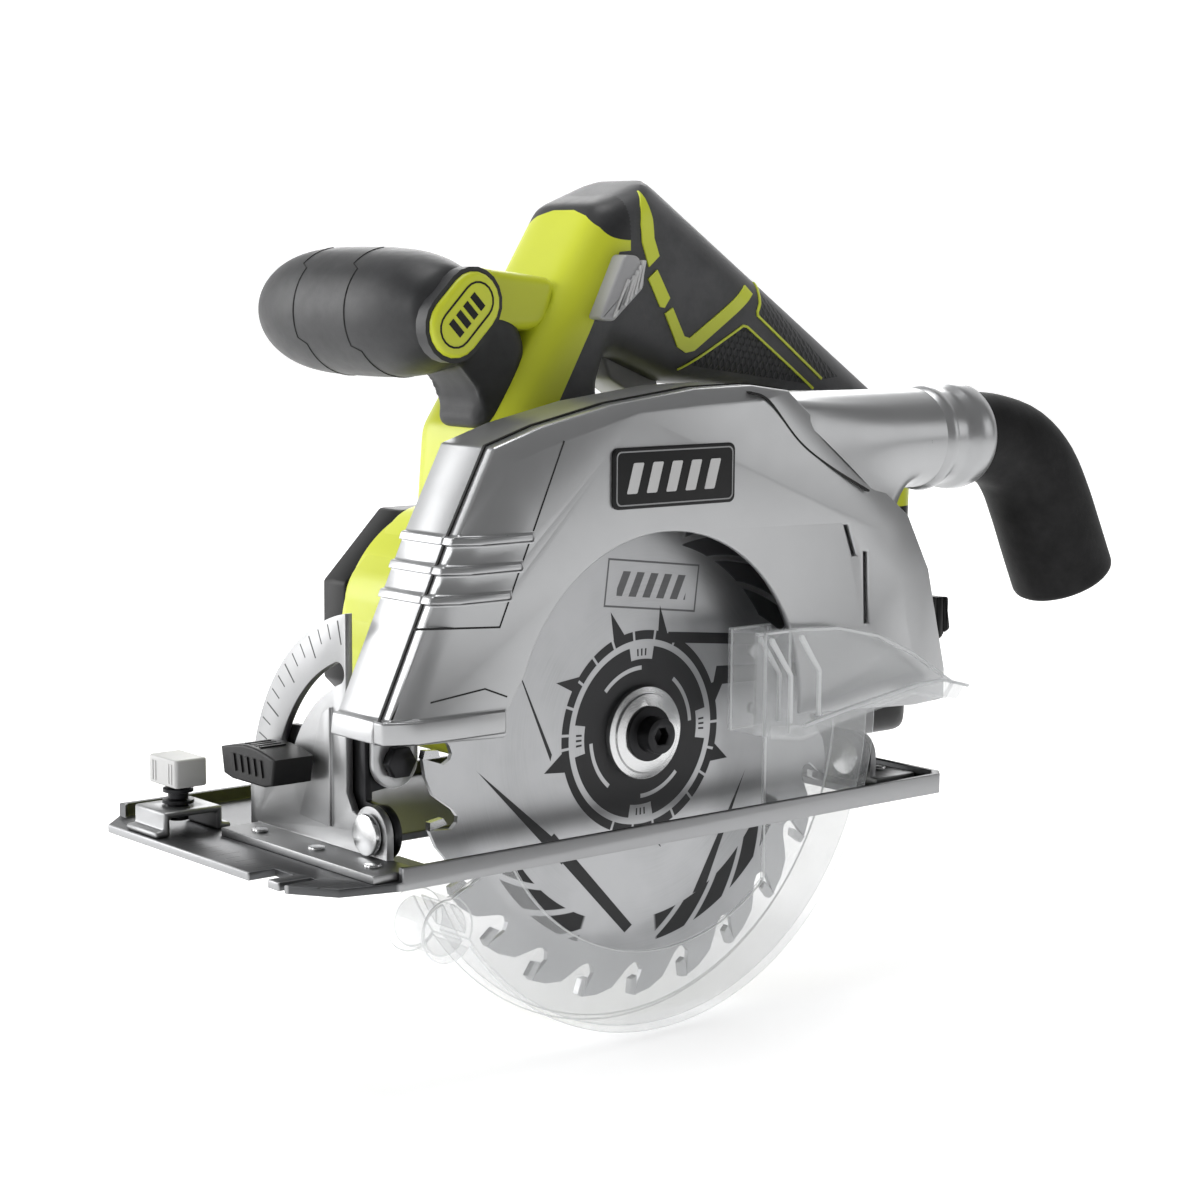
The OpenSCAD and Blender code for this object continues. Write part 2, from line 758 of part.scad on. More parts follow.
module terminal_block() {
    color([0.1, 0.1, 0.1]) at_arbor() union() {
        block(104.2, 110, handle_y - 14, handle_y + 14, -15, 17);
        for (y = [-8, 8]) block(110, 126, handle_y + y - 0.5, handle_y + y + 0.5, -6, 2);
    }
}
module lead(points, r) {
    for (i = [0:len(points) - 1]) translate(points[i]) sphere(r + 0.15, $fn = 16);
    for (i = [0:len(points) - 2]) {
        way = points[i + 1] - points[i];
        flat = norm([way[0], way[1]]);
        translate(points[i]) rotate([0, atan2(flat, way[2]), atan2(way[1], way[0])])
            cylinder(r = r, h = norm(way), $fn = 16);
    }
}
module power_leads() {
    color([0.6, 0.1, 0.1]) at_arbor() for (s = [-1, 1]) lead([for (p = [[99, 14], [99, 28], [128, 30],
        [136, 60], [133, 80], [104, 104], [78, 124]]) [p[0], handle_y + 5 * s, p[1]]], 1.5);
}

// ---- Fasteners ----

module housing_screws() {
    color([0.3, 0.3, 0.3]) at_arbor() housing_screw_places() {
        rod_y(1.55, handle_y - 10, handle_far - 3);
        rod_y(3, handle_far - 3, handle_far - 0.4);
    }
}
module guard_screws() {
    color([0.3, 0.3, 0.3]) at_arbor() guard_screw_places() rod_y(2.1, guard_far - 2.2, guard_far);
}
module end_cap_screws() {
    color([0.3, 0.3, 0.3]) at_motor() for (a = [45, 225]) translate([32 * cos(a), 0, 32 * sin(a)])
        rod_y(3, barrel_end + 20, barrel_end + 21.5);
}
module base_rivets() {
    color([0.7, 0.7, 0.7]) at_arbor() {
        for (y = [-8, 20, 50])
            translate([front_plate_x - 7, y, deck_z + bracket_t]) cylinder(r = 2.5, h = 1);
        translate([rear_plate_x + 12, 3, deck_z + bracket_t]) cylinder(r = 2.5, h = 1);
    }
}

// ---- Depth and bevel frame ----

module depth_pivot_bolt() {
    color([0.1, 0.1, 0.1]) at_arbor() union() {
        rod_y(4, guard_far - 2.4, 17, pivot_x, 0);
        side(guard_far - 5.6, guard_far - 2.4) translate([pivot_x, 0]) circle(5, $fn = 6);
        rod_y(6, 12.8 + 0.3, 16.5, pivot_x, 0);
    }
}
module front_tilt_bracket() {
    x0 = front_plate_x + bracket_t + 0.5;
    bolt = quadrant_pin + polar(quadrant_r, lock_angle);
    color([0.12, 0.12, 0.12]) at_arbor() difference() {
        union() {
            front(x0, x0 + bracket_t) union() {
                translate(quadrant_pin) circle(8);
                translate(bolt) circle(9);
                polygon([quadrant_pin + [-2, -8], quadrant_pin + [2, 7.7], [guard_far + play, bevel_z + 8],
                         [guard_far + play, 8], bolt + [0, 9], bolt + [4, -8]]);
            }
            side(guard_far + 0.3, 12.8) union() {
                translate([pivot_x, 0]) circle(8);
                polygon([[x0, -9], [x0, 8], [pivot_x, 8], [pivot_x, -8]]);
            }
        }
        rod_y(4 + slip, 5, 20, pivot_x, 0);
        rod_x(pin_r, x0 - 5, x0 + 5, quadrant_pin[0], quadrant_pin[1]);
        rod_x(3, x0 - 5, x0 + 5, bolt[0], bolt[1]);
    }
}
module depth_arm() {
    color([0.12, 0.12, 0.12]) at_arbor() difference() {
        union() {
            side(arm_y, arm_y + bracket_t) union() {
                translate([pivot_x, 0]) arc_band(arm_r + 9, arm_r - 9, -4, 41);
                polygon([[pivot_x + arm_r - 9, -9], [pivot_x + arm_r - 9, 3], [pivot_x + arm_r + 9, 3],
                         [rear_arm_x + bracket_t, -10], [rear_arm_x + bracket_t, bevel_z - 8],
                         [rear_arm_x - 8, bevel_z - 8]]);
            }
            front(rear_arm_x, rear_arm_x + bracket_t) union() {
                translate(quadrant_pin) circle(8);
                polygon([quadrant_pin + [0, -8], quadrant_pin + [0, 8], [arm_y + 1, bevel_z + 9],
                         [arm_y + 1, bevel_z - 8]]);
            }
        }
        side(arm_y - 1, arm_y + 4) union() {
            translate([pivot_x, 0]) arc_band(arm_r + 3.1, arm_r - 3.1, 0, 38);
            for (a = [0, 38]) translate([pivot_x, 0]) rotate(a) translate([arm_r, 0]) circle(3.1);
        }
        rod_x(pin_r, rear_arm_x - 3, rear_arm_x + 5, quadrant_pin[0], quadrant_pin[1]);
    }
}
module bevel_pins() {
    x0 = front_plate_x;
    color([0.75, 0.75, 0.75]) at_arbor() {
        rod_x(pin_r, x0 - 0.3, x0 + 2 * bracket_t + 1.5, quadrant_pin[0], quadrant_pin[1]);
        rod_x(pin_r + 2, x0 - 2.3, x0 - 0.3, quadrant_pin[0], quadrant_pin[1]);
        rod_x(pin_r, rear_arm_x, rear_plate_x + bracket_t + 0.3, quadrant_pin[0], quadrant_pin[1]);
        rod_x(pin_r + 2, rear_arm_x - 2, rear_arm_x, quadrant_pin[0], quadrant_pin[1]);
    }
}
module bevel_lock_bolt() {
    bolt = quadrant_pin + polar(quadrant_r, lock_angle);
    color([0.5, 0.5, 0.5]) at_arbor() union() {
        rod_x(3, front_plate_x - 8, front_plate_x + 2 * bracket_t + 0.5, bolt[0], bolt[1]);
        rod_x(5.5, front_plate_x + 2 * bracket_t + 0.5, front_plate_x + 2 * bracket_t + 3.5,
              bolt[0], bolt[1]);
    }
}
module depth_lock_bolt() {
    color([0.5, 0.5, 0.5]) at_arbor() union() {
        rod_y(3, guard_far, arm_y + 5, pivot_x + arm_r, 0);
        rod_y(4, guard_far - 2.2, guard_far, pivot_x + arm_r, 0);
        rod_y(5.5, arm_y + bracket_t + 0.3, arm_y + bracket_t + 2.5, pivot_x + arm_r, 0);
    }
}
module bevel_lock_lever() {
    bolt = quadrant_pin + polar(quadrant_r, lock_angle);
    x1 = front_plate_x - 0.4;
    color([0.08, 0.08, 0.08]) at_arbor() difference() {
        union() {
            rod_x(5.5, x1 - 7, x1, bolt[0], bolt[1]);
            block(x1 - 16, x1 - 2.5, bolt[0] - 20, bolt[0] + 9, bolt[1] - 4, bolt[1] + 5);
        }
        rod_x(3 + slip, x1 - 7.8, x1 + 1, bolt[0], bolt[1]);
    }
}
module depth_lock_lever() {
    x = pivot_x + arm_r;
    color([0.08, 0.08, 0.08]) at_arbor() difference() {
        union() {
            rod_y(8, arm_y - 6, arm_y - 0.4, x, 0);
            side(arm_y - 5, arm_y - 1.5) polygon([[x - 2, 7.5], [x + 74, 27], [x + 76, 18], [x + 4, -7.5]]);
            side(arm_y - 9, arm_y + 1.5)
                polygon([[x + 70, 17], [x + 72, 30], [x + 84, 29], [x + 86, 18], [x + 80, 14]]);
        }
        rod_y(3 + slip, arm_y - 7, arm_y + 1, x, 0);
        for (k = [0:3]) block(x + 72 + 3.5 * k, x + 73.2 + 3.5 * k, arm_y - 10, arm_y - 8.2, 10, 32);
    }
}

// ---- Base ----

module base_outline(inset) {
    corner = 9;
    x0 = base_front + inset;
    x1 = base_rear - inset;
    y0 = -near_edge + inset;
    y1 = base_far - inset;
    polygon([[x0, y0 + 2 * corner], [x0 + corner, y0 + 5], [x0 + 3 * corner, y0], [x1 - 4, y0], [x1, y0 + 4],
             [x1, y1 - 4], [x1 - 4, y1], [x0 + corner, y1], [x0, y1 - corner]]);
}
module base_plate() {
    color([0.62, 0.63, 0.64]) at_arbor() difference() {
        union() {
            translate([0, 0, sole_z]) linear_extrude(base_t) base_outline(0);
            // Turned-up rims along the near, rear and far edges
            translate([0, 0, sole_z]) linear_extrude(rim_h) difference() {
                base_outline(0);
                base_outline(2);
                translate([base_front - 1, -near_edge - 1]) square([28, base_far]);
                translate([base_front - 1, -near_edge - 1]) square([10, base_w + 2]);
            }
        }
        // Window for the blade and the lower guard
        block(-blade_r - 2, blade_r + 7.5, -15.5, 31, sole_z - 1, deck_z + 1);
        block(-blade_r - 9.5, -blade_r, 8, 31, sole_z - 1, deck_z + 1);
        // Sight notches at the front edge
        block(base_front - 1, base_front + 9, 7, 17, sole_z - 1, deck_z + 1);
        block(base_front - 1, base_front + 11, -1.5, 1.5, sole_z - 1, deck_z + 1);
    }
}
module bevel_quadrant() {
    reach = quadrant_r + 16;
    bolt_play = 3.2;
    color([0.66, 0.67, 0.68]) at_arbor() difference() {
        union() {
            block(front_plate_x - 13, front_plate_x + bracket_t, -17, 62, deck_z, deck_z + bracket_t);
            front(front_plate_x, front_plate_x + bracket_t) intersection() {
                union() {
                    translate(quadrant_pin) circle(8);
                    polygon([[-5, deck_z], [-5, bevel_z], [12, bevel_z + 5], [15, bevel_z + 10], [15, 60],
                             [80, 60], [80, deck_z]]);
                }
                union() {
                    translate(quadrant_pin) intersection() { circle(reach); translate([0, 0]) square(80); }
                    translate([-5, deck_z]) square([71, 22]);
                    translate(quadrant_pin) circle(8);
                }
            }
            // Pressed rib
            front(front_plate_x - 1, front_plate_x)
                polygon([[22, bevel_z - 1], [38, bevel_z], [26, bevel_z + 32], [22, bevel_z + 34]]);
        }
        front(front_plate_x - 3, front_plate_x + 5) translate(quadrant_pin) union() {
            arc_band(quadrant_r + bolt_play, quadrant_r - bolt_play, lock_angle, lock_angle + bevel_max);
            for (a = [lock_angle, lock_angle + bevel_max])
                rotate(a) translate([quadrant_r, 0]) circle(bolt_play);
        }
        rod_x(pin_r + slip, front_plate_x - 5, front_plate_x + 5, quadrant_pin[0], quadrant_pin[1]);
    }
}
module rear_bevel_ear() {
    x0 = rear_plate_x;
    color([0.66, 0.67, 0.68]) at_arbor() difference() {
        union() {
            block(x0, x0 + 18, -8, 14, deck_z, deck_z + bracket_t);
            front(x0, x0 + bracket_t) union() {
                translate(quadrant_pin) circle(8);
                translate([bevel_y - 8, deck_z]) square([16, bevel_z - deck_z]);
            }
        }
        rod_x(pin_r + slip, x0 - 5, x0 + 5, quadrant_pin[0], quadrant_pin[1]);
    }
}
module fence_bracket() {
    color([0.66, 0.67, 0.68]) at_arbor() difference() {
        side(fence_y - 9, fence_y + 9) translate([fence_x, deck_z])
            polygon([[-13, 0], [-8, 0], [-8, 5.5], [8, 5.5], [8, 0], [13, 0], [13, 2], [10, 2],
                     [10, 7.5], [-10, 7.5], [-10, 2], [-13, 2]]);
        translate([fence_x, fence_y, deck_z + 3]) cylinder(r = 3 + slip, h = 6);
    }
}
module fence_knob() {
    color([0.85, 0.85, 0.84]) at_arbor() translate([fence_x, fence_y, deck_z]) union() {
        translate([0, 0, 5]) cylinder(r = 3, h = 9.5);
        translate([0, 0, 7.8]) cylinder(r = 6, h = 1.2);
        translate([0, 0, 10.5]) cylinder(r = 5, h = 3);
        translate([-5.5, -8, 13]) cube([11, 16, 9.5]);
    }
}

housing_left();
housing_right();
motor_housing();
grip_overmould();
nose_cap();
front_handle_arm();
front_handle_grip();
front_handle_cap();
motor_end_cap();
motor_magnets();
motor_bearings();
carbon_brushes();
gearcase();
spindle_bearings();
upper_guard_outer();
upper_guard_inner();
guard_badge();
dust_spout();
guard_spring();
depth_pivot_bolt();
depth_lock_bolt();
switch_module();
terminal_block();
power_leads();
housing_screws();
guard_screws();
end_cap_screws();
armature_core();
armature_windings();
commutator();
armature_shaft();
cooling_fan();
motor_pinion();
spindle();
spindle_gear();
inner_flange();
saw_blade();
outer_flange();
blade_bolt();
lower_guard();
guard_lever();
lever_screws();
trigger();
lock_off_button();
spindle_lock_button();
dust_elbow();
front_tilt_bracket();
depth_arm();
bevel_pins();
bevel_lock_bolt();
base_plate();
bevel_quadrant();
rear_bevel_ear();
fence_bracket();
base_rivets();
bevel_lock_lever();
depth_lock_lever();
fence_knob();
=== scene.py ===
import json
import math

import bmesh
import bpy
from mathutils import Matrix, Vector


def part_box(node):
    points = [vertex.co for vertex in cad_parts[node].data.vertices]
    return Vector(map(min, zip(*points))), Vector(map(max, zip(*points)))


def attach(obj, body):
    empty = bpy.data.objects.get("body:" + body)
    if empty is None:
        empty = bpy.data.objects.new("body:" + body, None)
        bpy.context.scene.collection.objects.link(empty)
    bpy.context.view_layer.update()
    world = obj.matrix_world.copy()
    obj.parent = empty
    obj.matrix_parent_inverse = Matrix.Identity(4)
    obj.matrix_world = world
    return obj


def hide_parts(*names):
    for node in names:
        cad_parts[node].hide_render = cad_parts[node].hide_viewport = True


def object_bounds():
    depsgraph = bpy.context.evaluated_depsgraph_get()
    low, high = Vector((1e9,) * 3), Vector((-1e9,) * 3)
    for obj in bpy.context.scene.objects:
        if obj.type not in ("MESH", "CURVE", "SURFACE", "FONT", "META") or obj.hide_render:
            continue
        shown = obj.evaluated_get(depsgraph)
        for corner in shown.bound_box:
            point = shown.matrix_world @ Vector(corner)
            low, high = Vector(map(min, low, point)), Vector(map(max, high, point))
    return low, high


# Cordless circular saw. Pieces are drawn in millimetres from the blade's centre: x to the rear,
# y towards the motor, z up. intoPlace then puts them in the frame's own metres.

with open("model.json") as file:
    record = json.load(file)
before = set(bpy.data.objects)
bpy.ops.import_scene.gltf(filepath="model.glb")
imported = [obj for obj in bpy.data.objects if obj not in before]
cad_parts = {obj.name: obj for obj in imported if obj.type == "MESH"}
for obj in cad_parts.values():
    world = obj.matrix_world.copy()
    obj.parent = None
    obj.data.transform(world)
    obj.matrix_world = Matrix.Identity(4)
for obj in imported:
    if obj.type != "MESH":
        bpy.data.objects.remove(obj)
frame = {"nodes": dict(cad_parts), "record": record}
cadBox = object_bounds()
scene = bpy.context.scene
bodyOf = {node: body for body, nodes in frame["record"]["behaviour"]["bodies"].items() for node in nodes}
slotOf = {part["node"]: part["material_slot"] for part in frame["record"]["subparts"]}
bladeLow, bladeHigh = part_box("saw_blade")
hub = (bladeLow + bladeHigh) / 2
intoPlace = Matrix.Translation(hub) @ Matrix.Scale(0.001, 4)


# Shader maths

class Wire:
    def __init__(self, finish, socket):
        self.finish = finish
        self.socket = socket

    def maths(self, operation, *values, clamp=False):
        settings = {"operation": operation, "use_clamp": clamp}
        return self.finish.node("ShaderNodeMath", settings, dict(enumerate(values)))

    def __add__(self, other): return self.maths("ADD", self, other)
    def __radd__(self, other): return self.maths("ADD", other, self)
    def __sub__(self, other): return self.maths("SUBTRACT", self, other)
    def __rsub__(self, other): return self.maths("SUBTRACT", other, self)
    def __mul__(self, other): return self.maths("MULTIPLY", self, other)
    def __truediv__(self, other): return self.maths("DIVIDE", self, other)
    def __abs__(self): return self.maths("ABSOLUTE", self)
    def both(self, other): return self.maths("MINIMUM", self, other)
    def either(self, other): return self.maths("MAXIMUM", self, other)
    def over(self, edge, blur=0.08): return self.maths("ADD", (self - edge) / blur, 0.5, clamp=True)
    def under(self, edge, blur=0.08): return 1 - self.over(edge, blur)
    def within(self, low, high, blur=0.08): return self.over(low, blur).both(self.under(high, blur))
    def every(self, step, shift=0.0): return self.maths("PINGPONG", self + shift, step / 2)  # 0 at each step


class Finish:
    def __init__(self, name, **constants):
        self.material = bpy.data.materials.new(name)
        self.material.use_nodes = True
        self.tree = self.material.node_tree
        self.shader = self.tree.nodes["Principled BSDF"]
        self.plug(self.shader, constants)
        where = self.node("ShaderNodeTexCoord", output="Object")
        self.spot = self.node("ShaderNodeVectorMath", {"operation": "SUBTRACT"}, {0: where, 1: tuple(hub)})
        self.spot = self.node("ShaderNodeVectorMath", {"operation": "SCALE"}, {0: self.spot, "Scale": 1000.0})
        self.x = self.node("ShaderNodeSeparateXYZ", values={0: self.spot}, output=0)
        self.y = Wire(self, self.x.socket.node.outputs[1])
        self.z = Wire(self, self.x.socket.node.outputs[2])

    def plug(self, node, values):
        for name, value in values.items():
            if isinstance(value, Wire):
                self.tree.links.new(value.socket, node.inputs[name])
            else:
                node.inputs[name].default_value = value

    def node(self, kind, settings=None, values=None, output=0):
        made = self.tree.nodes.new(kind)
        for name, value in (settings or {}).items():
            setattr(made, name, value)
        self.plug(made, values or {})
        return Wire(self, made.outputs[output])

    def noise(self, size, detail=3.0, stretch=(1, 1, 1), rough=0.55):
        scale = tuple(s / size for s in stretch)
        spread = self.node("ShaderNodeVectorMath", {"operation": "MULTIPLY"}, {0: self.spot, 1: scale})
        texture = {"Vector": spread, "Scale": 1.0, "Detail": detail, "Roughness": rough}
        return self.node("ShaderNodeTexNoise", values=texture)

    def mix(self, factor, first, second):
        return self.node("ShaderNodeMix", {"data_type": "RGBA"}, {0: factor, 6: first, 7: second}, output=2)

    def bump(self, height, distance, strength=1.0):
        settings = {"Height": height, "Distance": distance / 1000, "Strength": strength}
        return self.node("ShaderNodeBump", values=settings)

    def edgeSide(self, start, end):  # how far to the left of the line start-end a point of the side view is
        (x0, z0), (x1, z1) = start, end
        length = math.hypot(x1 - x0, z1 - z0)
        across, up = -(z1 - z0) / length, (x1 - x0) / length
        return self.x * across + self.z * up - (x0 * across + z0 * up)

    def shard(self, *corners):  # corners go anticlockwise in the side view
        inside = None
        for start, end in zip(corners, corners[1:] + corners[:1]):
            side = self.edgeSide(start, end)
            inside = side if inside is None else inside.both(side)
        return inside.over(0)

    def done(self, **links):
        self.plug(self.shader, {name.replace("_", " "): value for name, value in links.items()})
        return self.material


# Finishes

def mouldedPlastic(name, colour, roughness=0.42, grain=0.012, coat=0.0, sheen=0.5):
    finish = Finish(name, **{"Coat Roughness": 0.25, "IOR": 1.5, "Specular IOR Level": sheen})
    cloud = finish.noise(38, 2)
    fine = finish.noise(0.35, 2)
    dull = tuple(c * 0.86 for c in colour) + (1,)
    return finish.done(
        Base_Color=finish.mix(cloud, dull, tuple(colour) + (1,)),
        Roughness=roughness - 0.06 + finish.noise(6, 4) * 0.12,
        Coat_Weight=coat,
        Normal=finish.bump(fine, grain))


def rubber(name, colour, roughness=0.62, grain=0.03, sheen=0.45):
    finish = Finish(name, **{"IOR": 1.45, "Specular IOR Level": sheen})
    fine = finish.noise(0.5, 3)
    worn = finish.noise(14, 5, rough=0.65).within(0.5, 1.2, 0.25)
    paler = tuple(min(1, c * 1.28 + 0.006) for c in colour) + (1,)
    return finish.done(
        Base_Color=finish.mix(worn, tuple(colour) + (1,), paler),
        Roughness=roughness - 0.07 + finish.noise(4, 3) * 0.14,
        Normal=finish.bump(fine, grain))


def castPaint(name, colour, roughness=0.36):
    finish = Finish(name, IOR=1.5)
    flake = finish.noise(0.28, 1)
    orangePeel = finish.noise(2.6, 2)
    dull = tuple(c * 0.9 for c in colour) + (1,)
    return finish.done(
        Base_Color=finish.mix(finish.noise(26, 3), dull, tuple(colour) + (1,)),
        Metallic=0.62 + flake * 0.2,
        Roughness=roughness - 0.05 + finish.noise(9, 4) * 0.1,
        Normal=finish.bump(flake * 0.35 + orangePeel, 0.02))


def steel(name, colour, roughness=0.3, grainAlong=(1, 1, 14), grainSize=0.9, scratch=0.014):
    finish = Finish(name)
    line = finish.noise(grainSize, 4, stretch=grainAlong, rough=0.7)
    dull = tuple(c * 0.8 for c in colour) + (1,)
    return finish.done(
        Base_Color=finish.mix(line, dull, tuple(colour) + (1,)),
        Metallic=0.96 + finish.noise(12, 2) * 0.04,
        Roughness=roughness - 0.08 + line * 0.16,
        Normal=finish.bump(line, scratch))


def clearPlastic(name, film=0.16, shine=0.09):
    finish = Finish(name, **{"IOR": 1.5, "Specular IOR Level": 0.7})
    scuffed = finish.noise(7, 5, rough=0.7)
    return finish.done(
        Base_Color=finish.mix(finish.noise(30, 2), (0.78, 0.8, 0.81, 1), (0.88, 0.89, 0.9, 1)),
        Roughness=shine + scuffed.within(0.55, 1.2, 0.2) * 0.1,
        Alpha=film + scuffed * 0.08,
        Normal=finish.bump(finish.noise(11, 2), 0.03))


def copperWire(name):
    finish = Finish(name)
    turn = finish.noise(1.2, 2, stretch=(1, 6, 1))
    return finish.done(
        Base_Color=finish.mix(turn, (0.45, 0.15, 0.06, 1), (0.85, 0.42, 0.22, 1)),
        Metallic=0.85 + turn * 0.1, Roughness=0.3 + turn * 0.15, Normal=finish.bump(turn, 0.2))


bladePrint = {
    "ink": (0.018, 0.018, 0.02, 1),
    "discRadii": (13.5, 26.6),
    "ringRadii": (28.6, 31.4),
    "tabHalf": 10.55, "tabFrom": 22.6,
    "arrowRadii": (19.3, 20.6),
    "plateTilt": (0.9925, 0.1219),  # cosine and sine of the seven degrees the plate sits round
}


def bladeSteel(name):
    finish = Finish(name)
    x, z = finish.x, finish.z
    far = (x * x + z * z).maths("SQRT", x * x + z * z)
    turn = x.maths("ARCTAN2", z, x) * (180 / math.pi)
    polished = finish.node("ShaderNodeCombineXYZ", values={0: far * 1.9, 1: turn * 0.03, 2: 0.0})
    texture = {"Vector": polished, "Scale": 1.0, "Detail": 5.0, "Roughness": 0.7}
    line = finish.node("ShaderNodeTexNoise", values=texture)
    cloud = finish.noise(30, 3)
    disc = far.within(*bladePrint["discRadii"])
    tab = abs(turn.every(90)).under(bladePrint["tabHalf"]).both(far.over(bladePrint["tabFrom"]))
    mark = turn.every(3.6).under(0.7, 0.3).both(turn.every(90).under(6.2)).both(far.within(23.6, 25.8))
    ring = turn.every(16).over(0.8, 0.3).either(turn.every(180, 60).over(66, 1))
    ring = far.within(*bladePrint["ringRadii"]).both(ring)
    sweep = turn.every(180, 20)
    arrows = far.within(*bladePrint["arrowRadii"]).both(sweep.over(24, 0.6)).both(sweep.under(70, 0.6))
    barbs = None
    for corners in [((6.6, 30.6), (10.6, 29), (7.2, 38.5)), ((-26.8, 15), (-24, 19.5), (-33.5, 18.4)),
                    ((28.2, 12.2), (30.5, 6.2), (34.6, 13.4)), ((30.5, -7), (28.2, -12.5), (36, -12.2)),
                    ((-11.2, 29), (-7, 30.6), (-12.5, 38)), ((-30, -9), (-31, -3), (-38, -8.4)),
                    ((6.2, -30.6), (1.2, -31.2), (8.6, -37.2))]:
        barb = finish.shard(*corners).either(finish.shard(*corners[::-1]))
        barbs = barb if barbs is None else barbs.either(barb)
    shards = None
    for corners in [((-52, 33), (-49.4, 27), (-36.5, -8), (-35, -3)), ((-31, -37), (-28, -33.5), (-63, -4.6)),
                    ((31, 17.5), (29.5, 11.6), (74, 10.6), (72, 15)),
                    ((-6, -62), (-3, -60), (-34, -27), (-37.5, -29.6)),
                    ((22, -54), (27.4, -52.6), (44, -17))]:
        shape = finish.shard(*corners).either(finish.shard(*corners[::-1]))
        shards = shape if shards is None else shards.either(shape)
    slant = turn + far * 1.7
    blocks = far.within(58.5, 66.5).both(slant.every(15, 4).over(1.7, 0.4)).both(
        turn.within(14, 74, 1).either(turn.within(-84, -26, 1)).either(turn.within(-150, -112, 1)))
    tiltCos, tiltSin = bladePrint["plateTilt"]
    level, rise = x * tiltCos - z * tiltSin, x * tiltSin + z * tiltCos
    fromMiddle, fromLine = abs(level + 1.5), abs(rise - 45)
    plate = fromMiddle.under(18.6).both(fromLine.under(7.4))
    plateInner = fromMiddle.under(18).both(fromLine.under(6.8))
    bars = fromMiddle.under(14).both(fromLine.under(3.8))
    bars = bars.both((level - rise * 0.35).every(5.6, 18).under(1.5, 0.15))
    wedgeRise = rise - level * 0.02
    wedge = level.within(7, 66).both(wedgeRise.over(27.6)).both((wedgeRise - 27.6).under(3.4))
    ink = disc.both(1 - tab).both(1 - arrows)
    for shape in (mark, ring, barbs, shards, blocks, wedge):
        ink = ink.either(shape)
    inkDull = (plate - plateInner).either(bars) * 0.72
    metal = finish.mix(line, (0.3, 0.305, 0.312, 1), (0.5, 0.505, 0.515, 1))
    metal = finish.mix(cloud.within(0.45, 0.9, 0.3), metal, (0.46, 0.465, 0.475, 1))
    printed = ink.either(inkDull)
    return finish.done(
        Base_Color=finish.mix(printed, metal, bladePrint["ink"]),
        Metallic=0.97 - printed * 0.85,
        Roughness=0.27 + line * 0.14 + printed * 0.18,
        Normal=finish.bump(line + printed * 1.5, 0.012))


basePrint = {"tickStep": 5, "longStep": 10, "frontEdge": -130}


def pressedSteel(name, colour, ticks=None):
    finish = Finish(name)
    line = finish.noise(0.8, 4, stretch=(1, 9, 1), rough=0.7)
    stain = finish.noise(17, 5, rough=0.65)
    dull = tuple(c * 0.78 for c in colour) + (1,)
    metal = finish.mix(line * 0.6 + stain * 0.4, dull, tuple(colour) + (1,))
    height = line * 0.5 + finish.noise(0.5, 2) * 0.4
    if ticks == "sole":
        fromEdge = finish.x - basePrint["frontEdge"]
        short = finish.y.every(basePrint["tickStep"]).under(0.28, 0.1).both(fromEdge.within(4, 8.5))
        long = finish.y.every(basePrint["longStep"]).under(0.32, 0.1).both(fromEdge.within(4, 11.5))
        cut = short.either(long).both(finish.z.over(-28.4)).both(finish.y.under(99))
        # the near side flange and the front edge are painted lighter than the top: painted light on the faces turned to
        # the lamps
        rim = finish.y.under(-19.55, 0.3).either(fromEdge.under(0.5, 0.4))
        metal = finish.mix(rim, metal, (0.36, 0.363, 0.37, 1))
    elif ticks == "quadrant":
        y, z = finish.y - 3, finish.z + 19
        far = (y * y).maths("SQRT", y * y + z * z)
        turn = y.maths("ARCTAN2", z, y) * (180 / math.pi)
        short = turn.every(5).under(0.24, 0.1).both(far.within(57, 61.5))
        long = turn.every(15).under(0.3, 0.1).both(far.within(54.5, 61.5))
        cut = short.either(long).both(turn.within(14, 76, 1))
    else:
        cut = None
    if cut is not None:
        metal = finish.mix(cut, metal, (0.07, 0.07, 0.07, 1))
        height = height - cut * 2.5
    return finish.done(
        Base_Color=metal,
        Metallic=0.9 + stain * 0.08,
        Roughness=0.3 + line * 0.12 + stain * 0.08,
        Normal=finish.bump(height, 0.03))


gripPads = {
    "front": ((69.5, 125.6), (97, 104.3), (106.5, 105), (73, 134.2), (70.6, 131.5)),
    "rear": ((36, 110.6), (92.9, 102.8), (61.9, 122.4)),
    "dimple": 2.4,
}


def gripRubber(name):
    finish = Finish(name, IOR=1.45)
    x, z = finish.x, finish.z
    pads = None
    for corners in [gripPads["front"], gripPads["rear"]]:
        pad = finish.shard(*corners).either(finish.shard(*corners[::-1]))
        pads = pad if pads is None else pads.either(pad)
    wide = gripPads["dimple"]
    along, across = x * 0.8 - z * 0.6, x * 0.6 + z * 0.8
    row = along.every(wide)
    column = (across + along * 0.5).every(wide)
    dimple = (row * row + column * column).maths("SQRT", row * row + column * column)
    pit = dimple.under(0.95, 0.5).both(pads)
    fine = finish.noise(0.5, 3)
    worn = finish.noise(16, 5, rough=0.65).within(0.5, 1.2, 0.25)
    base = finish.mix(worn, (0.05, 0.051, 0.054, 1), (0.075, 0.076, 0.08, 1))
    base = finish.mix(pads, base, (0.034, 0.035, 0.037, 1))
    return finish.done(Base_Color=base, Roughness=0.44 + fine * 0.1 + pads * 0.04,
                       Normal=finish.bump(fine * 0.06 - pit * 0.9, 0.5))


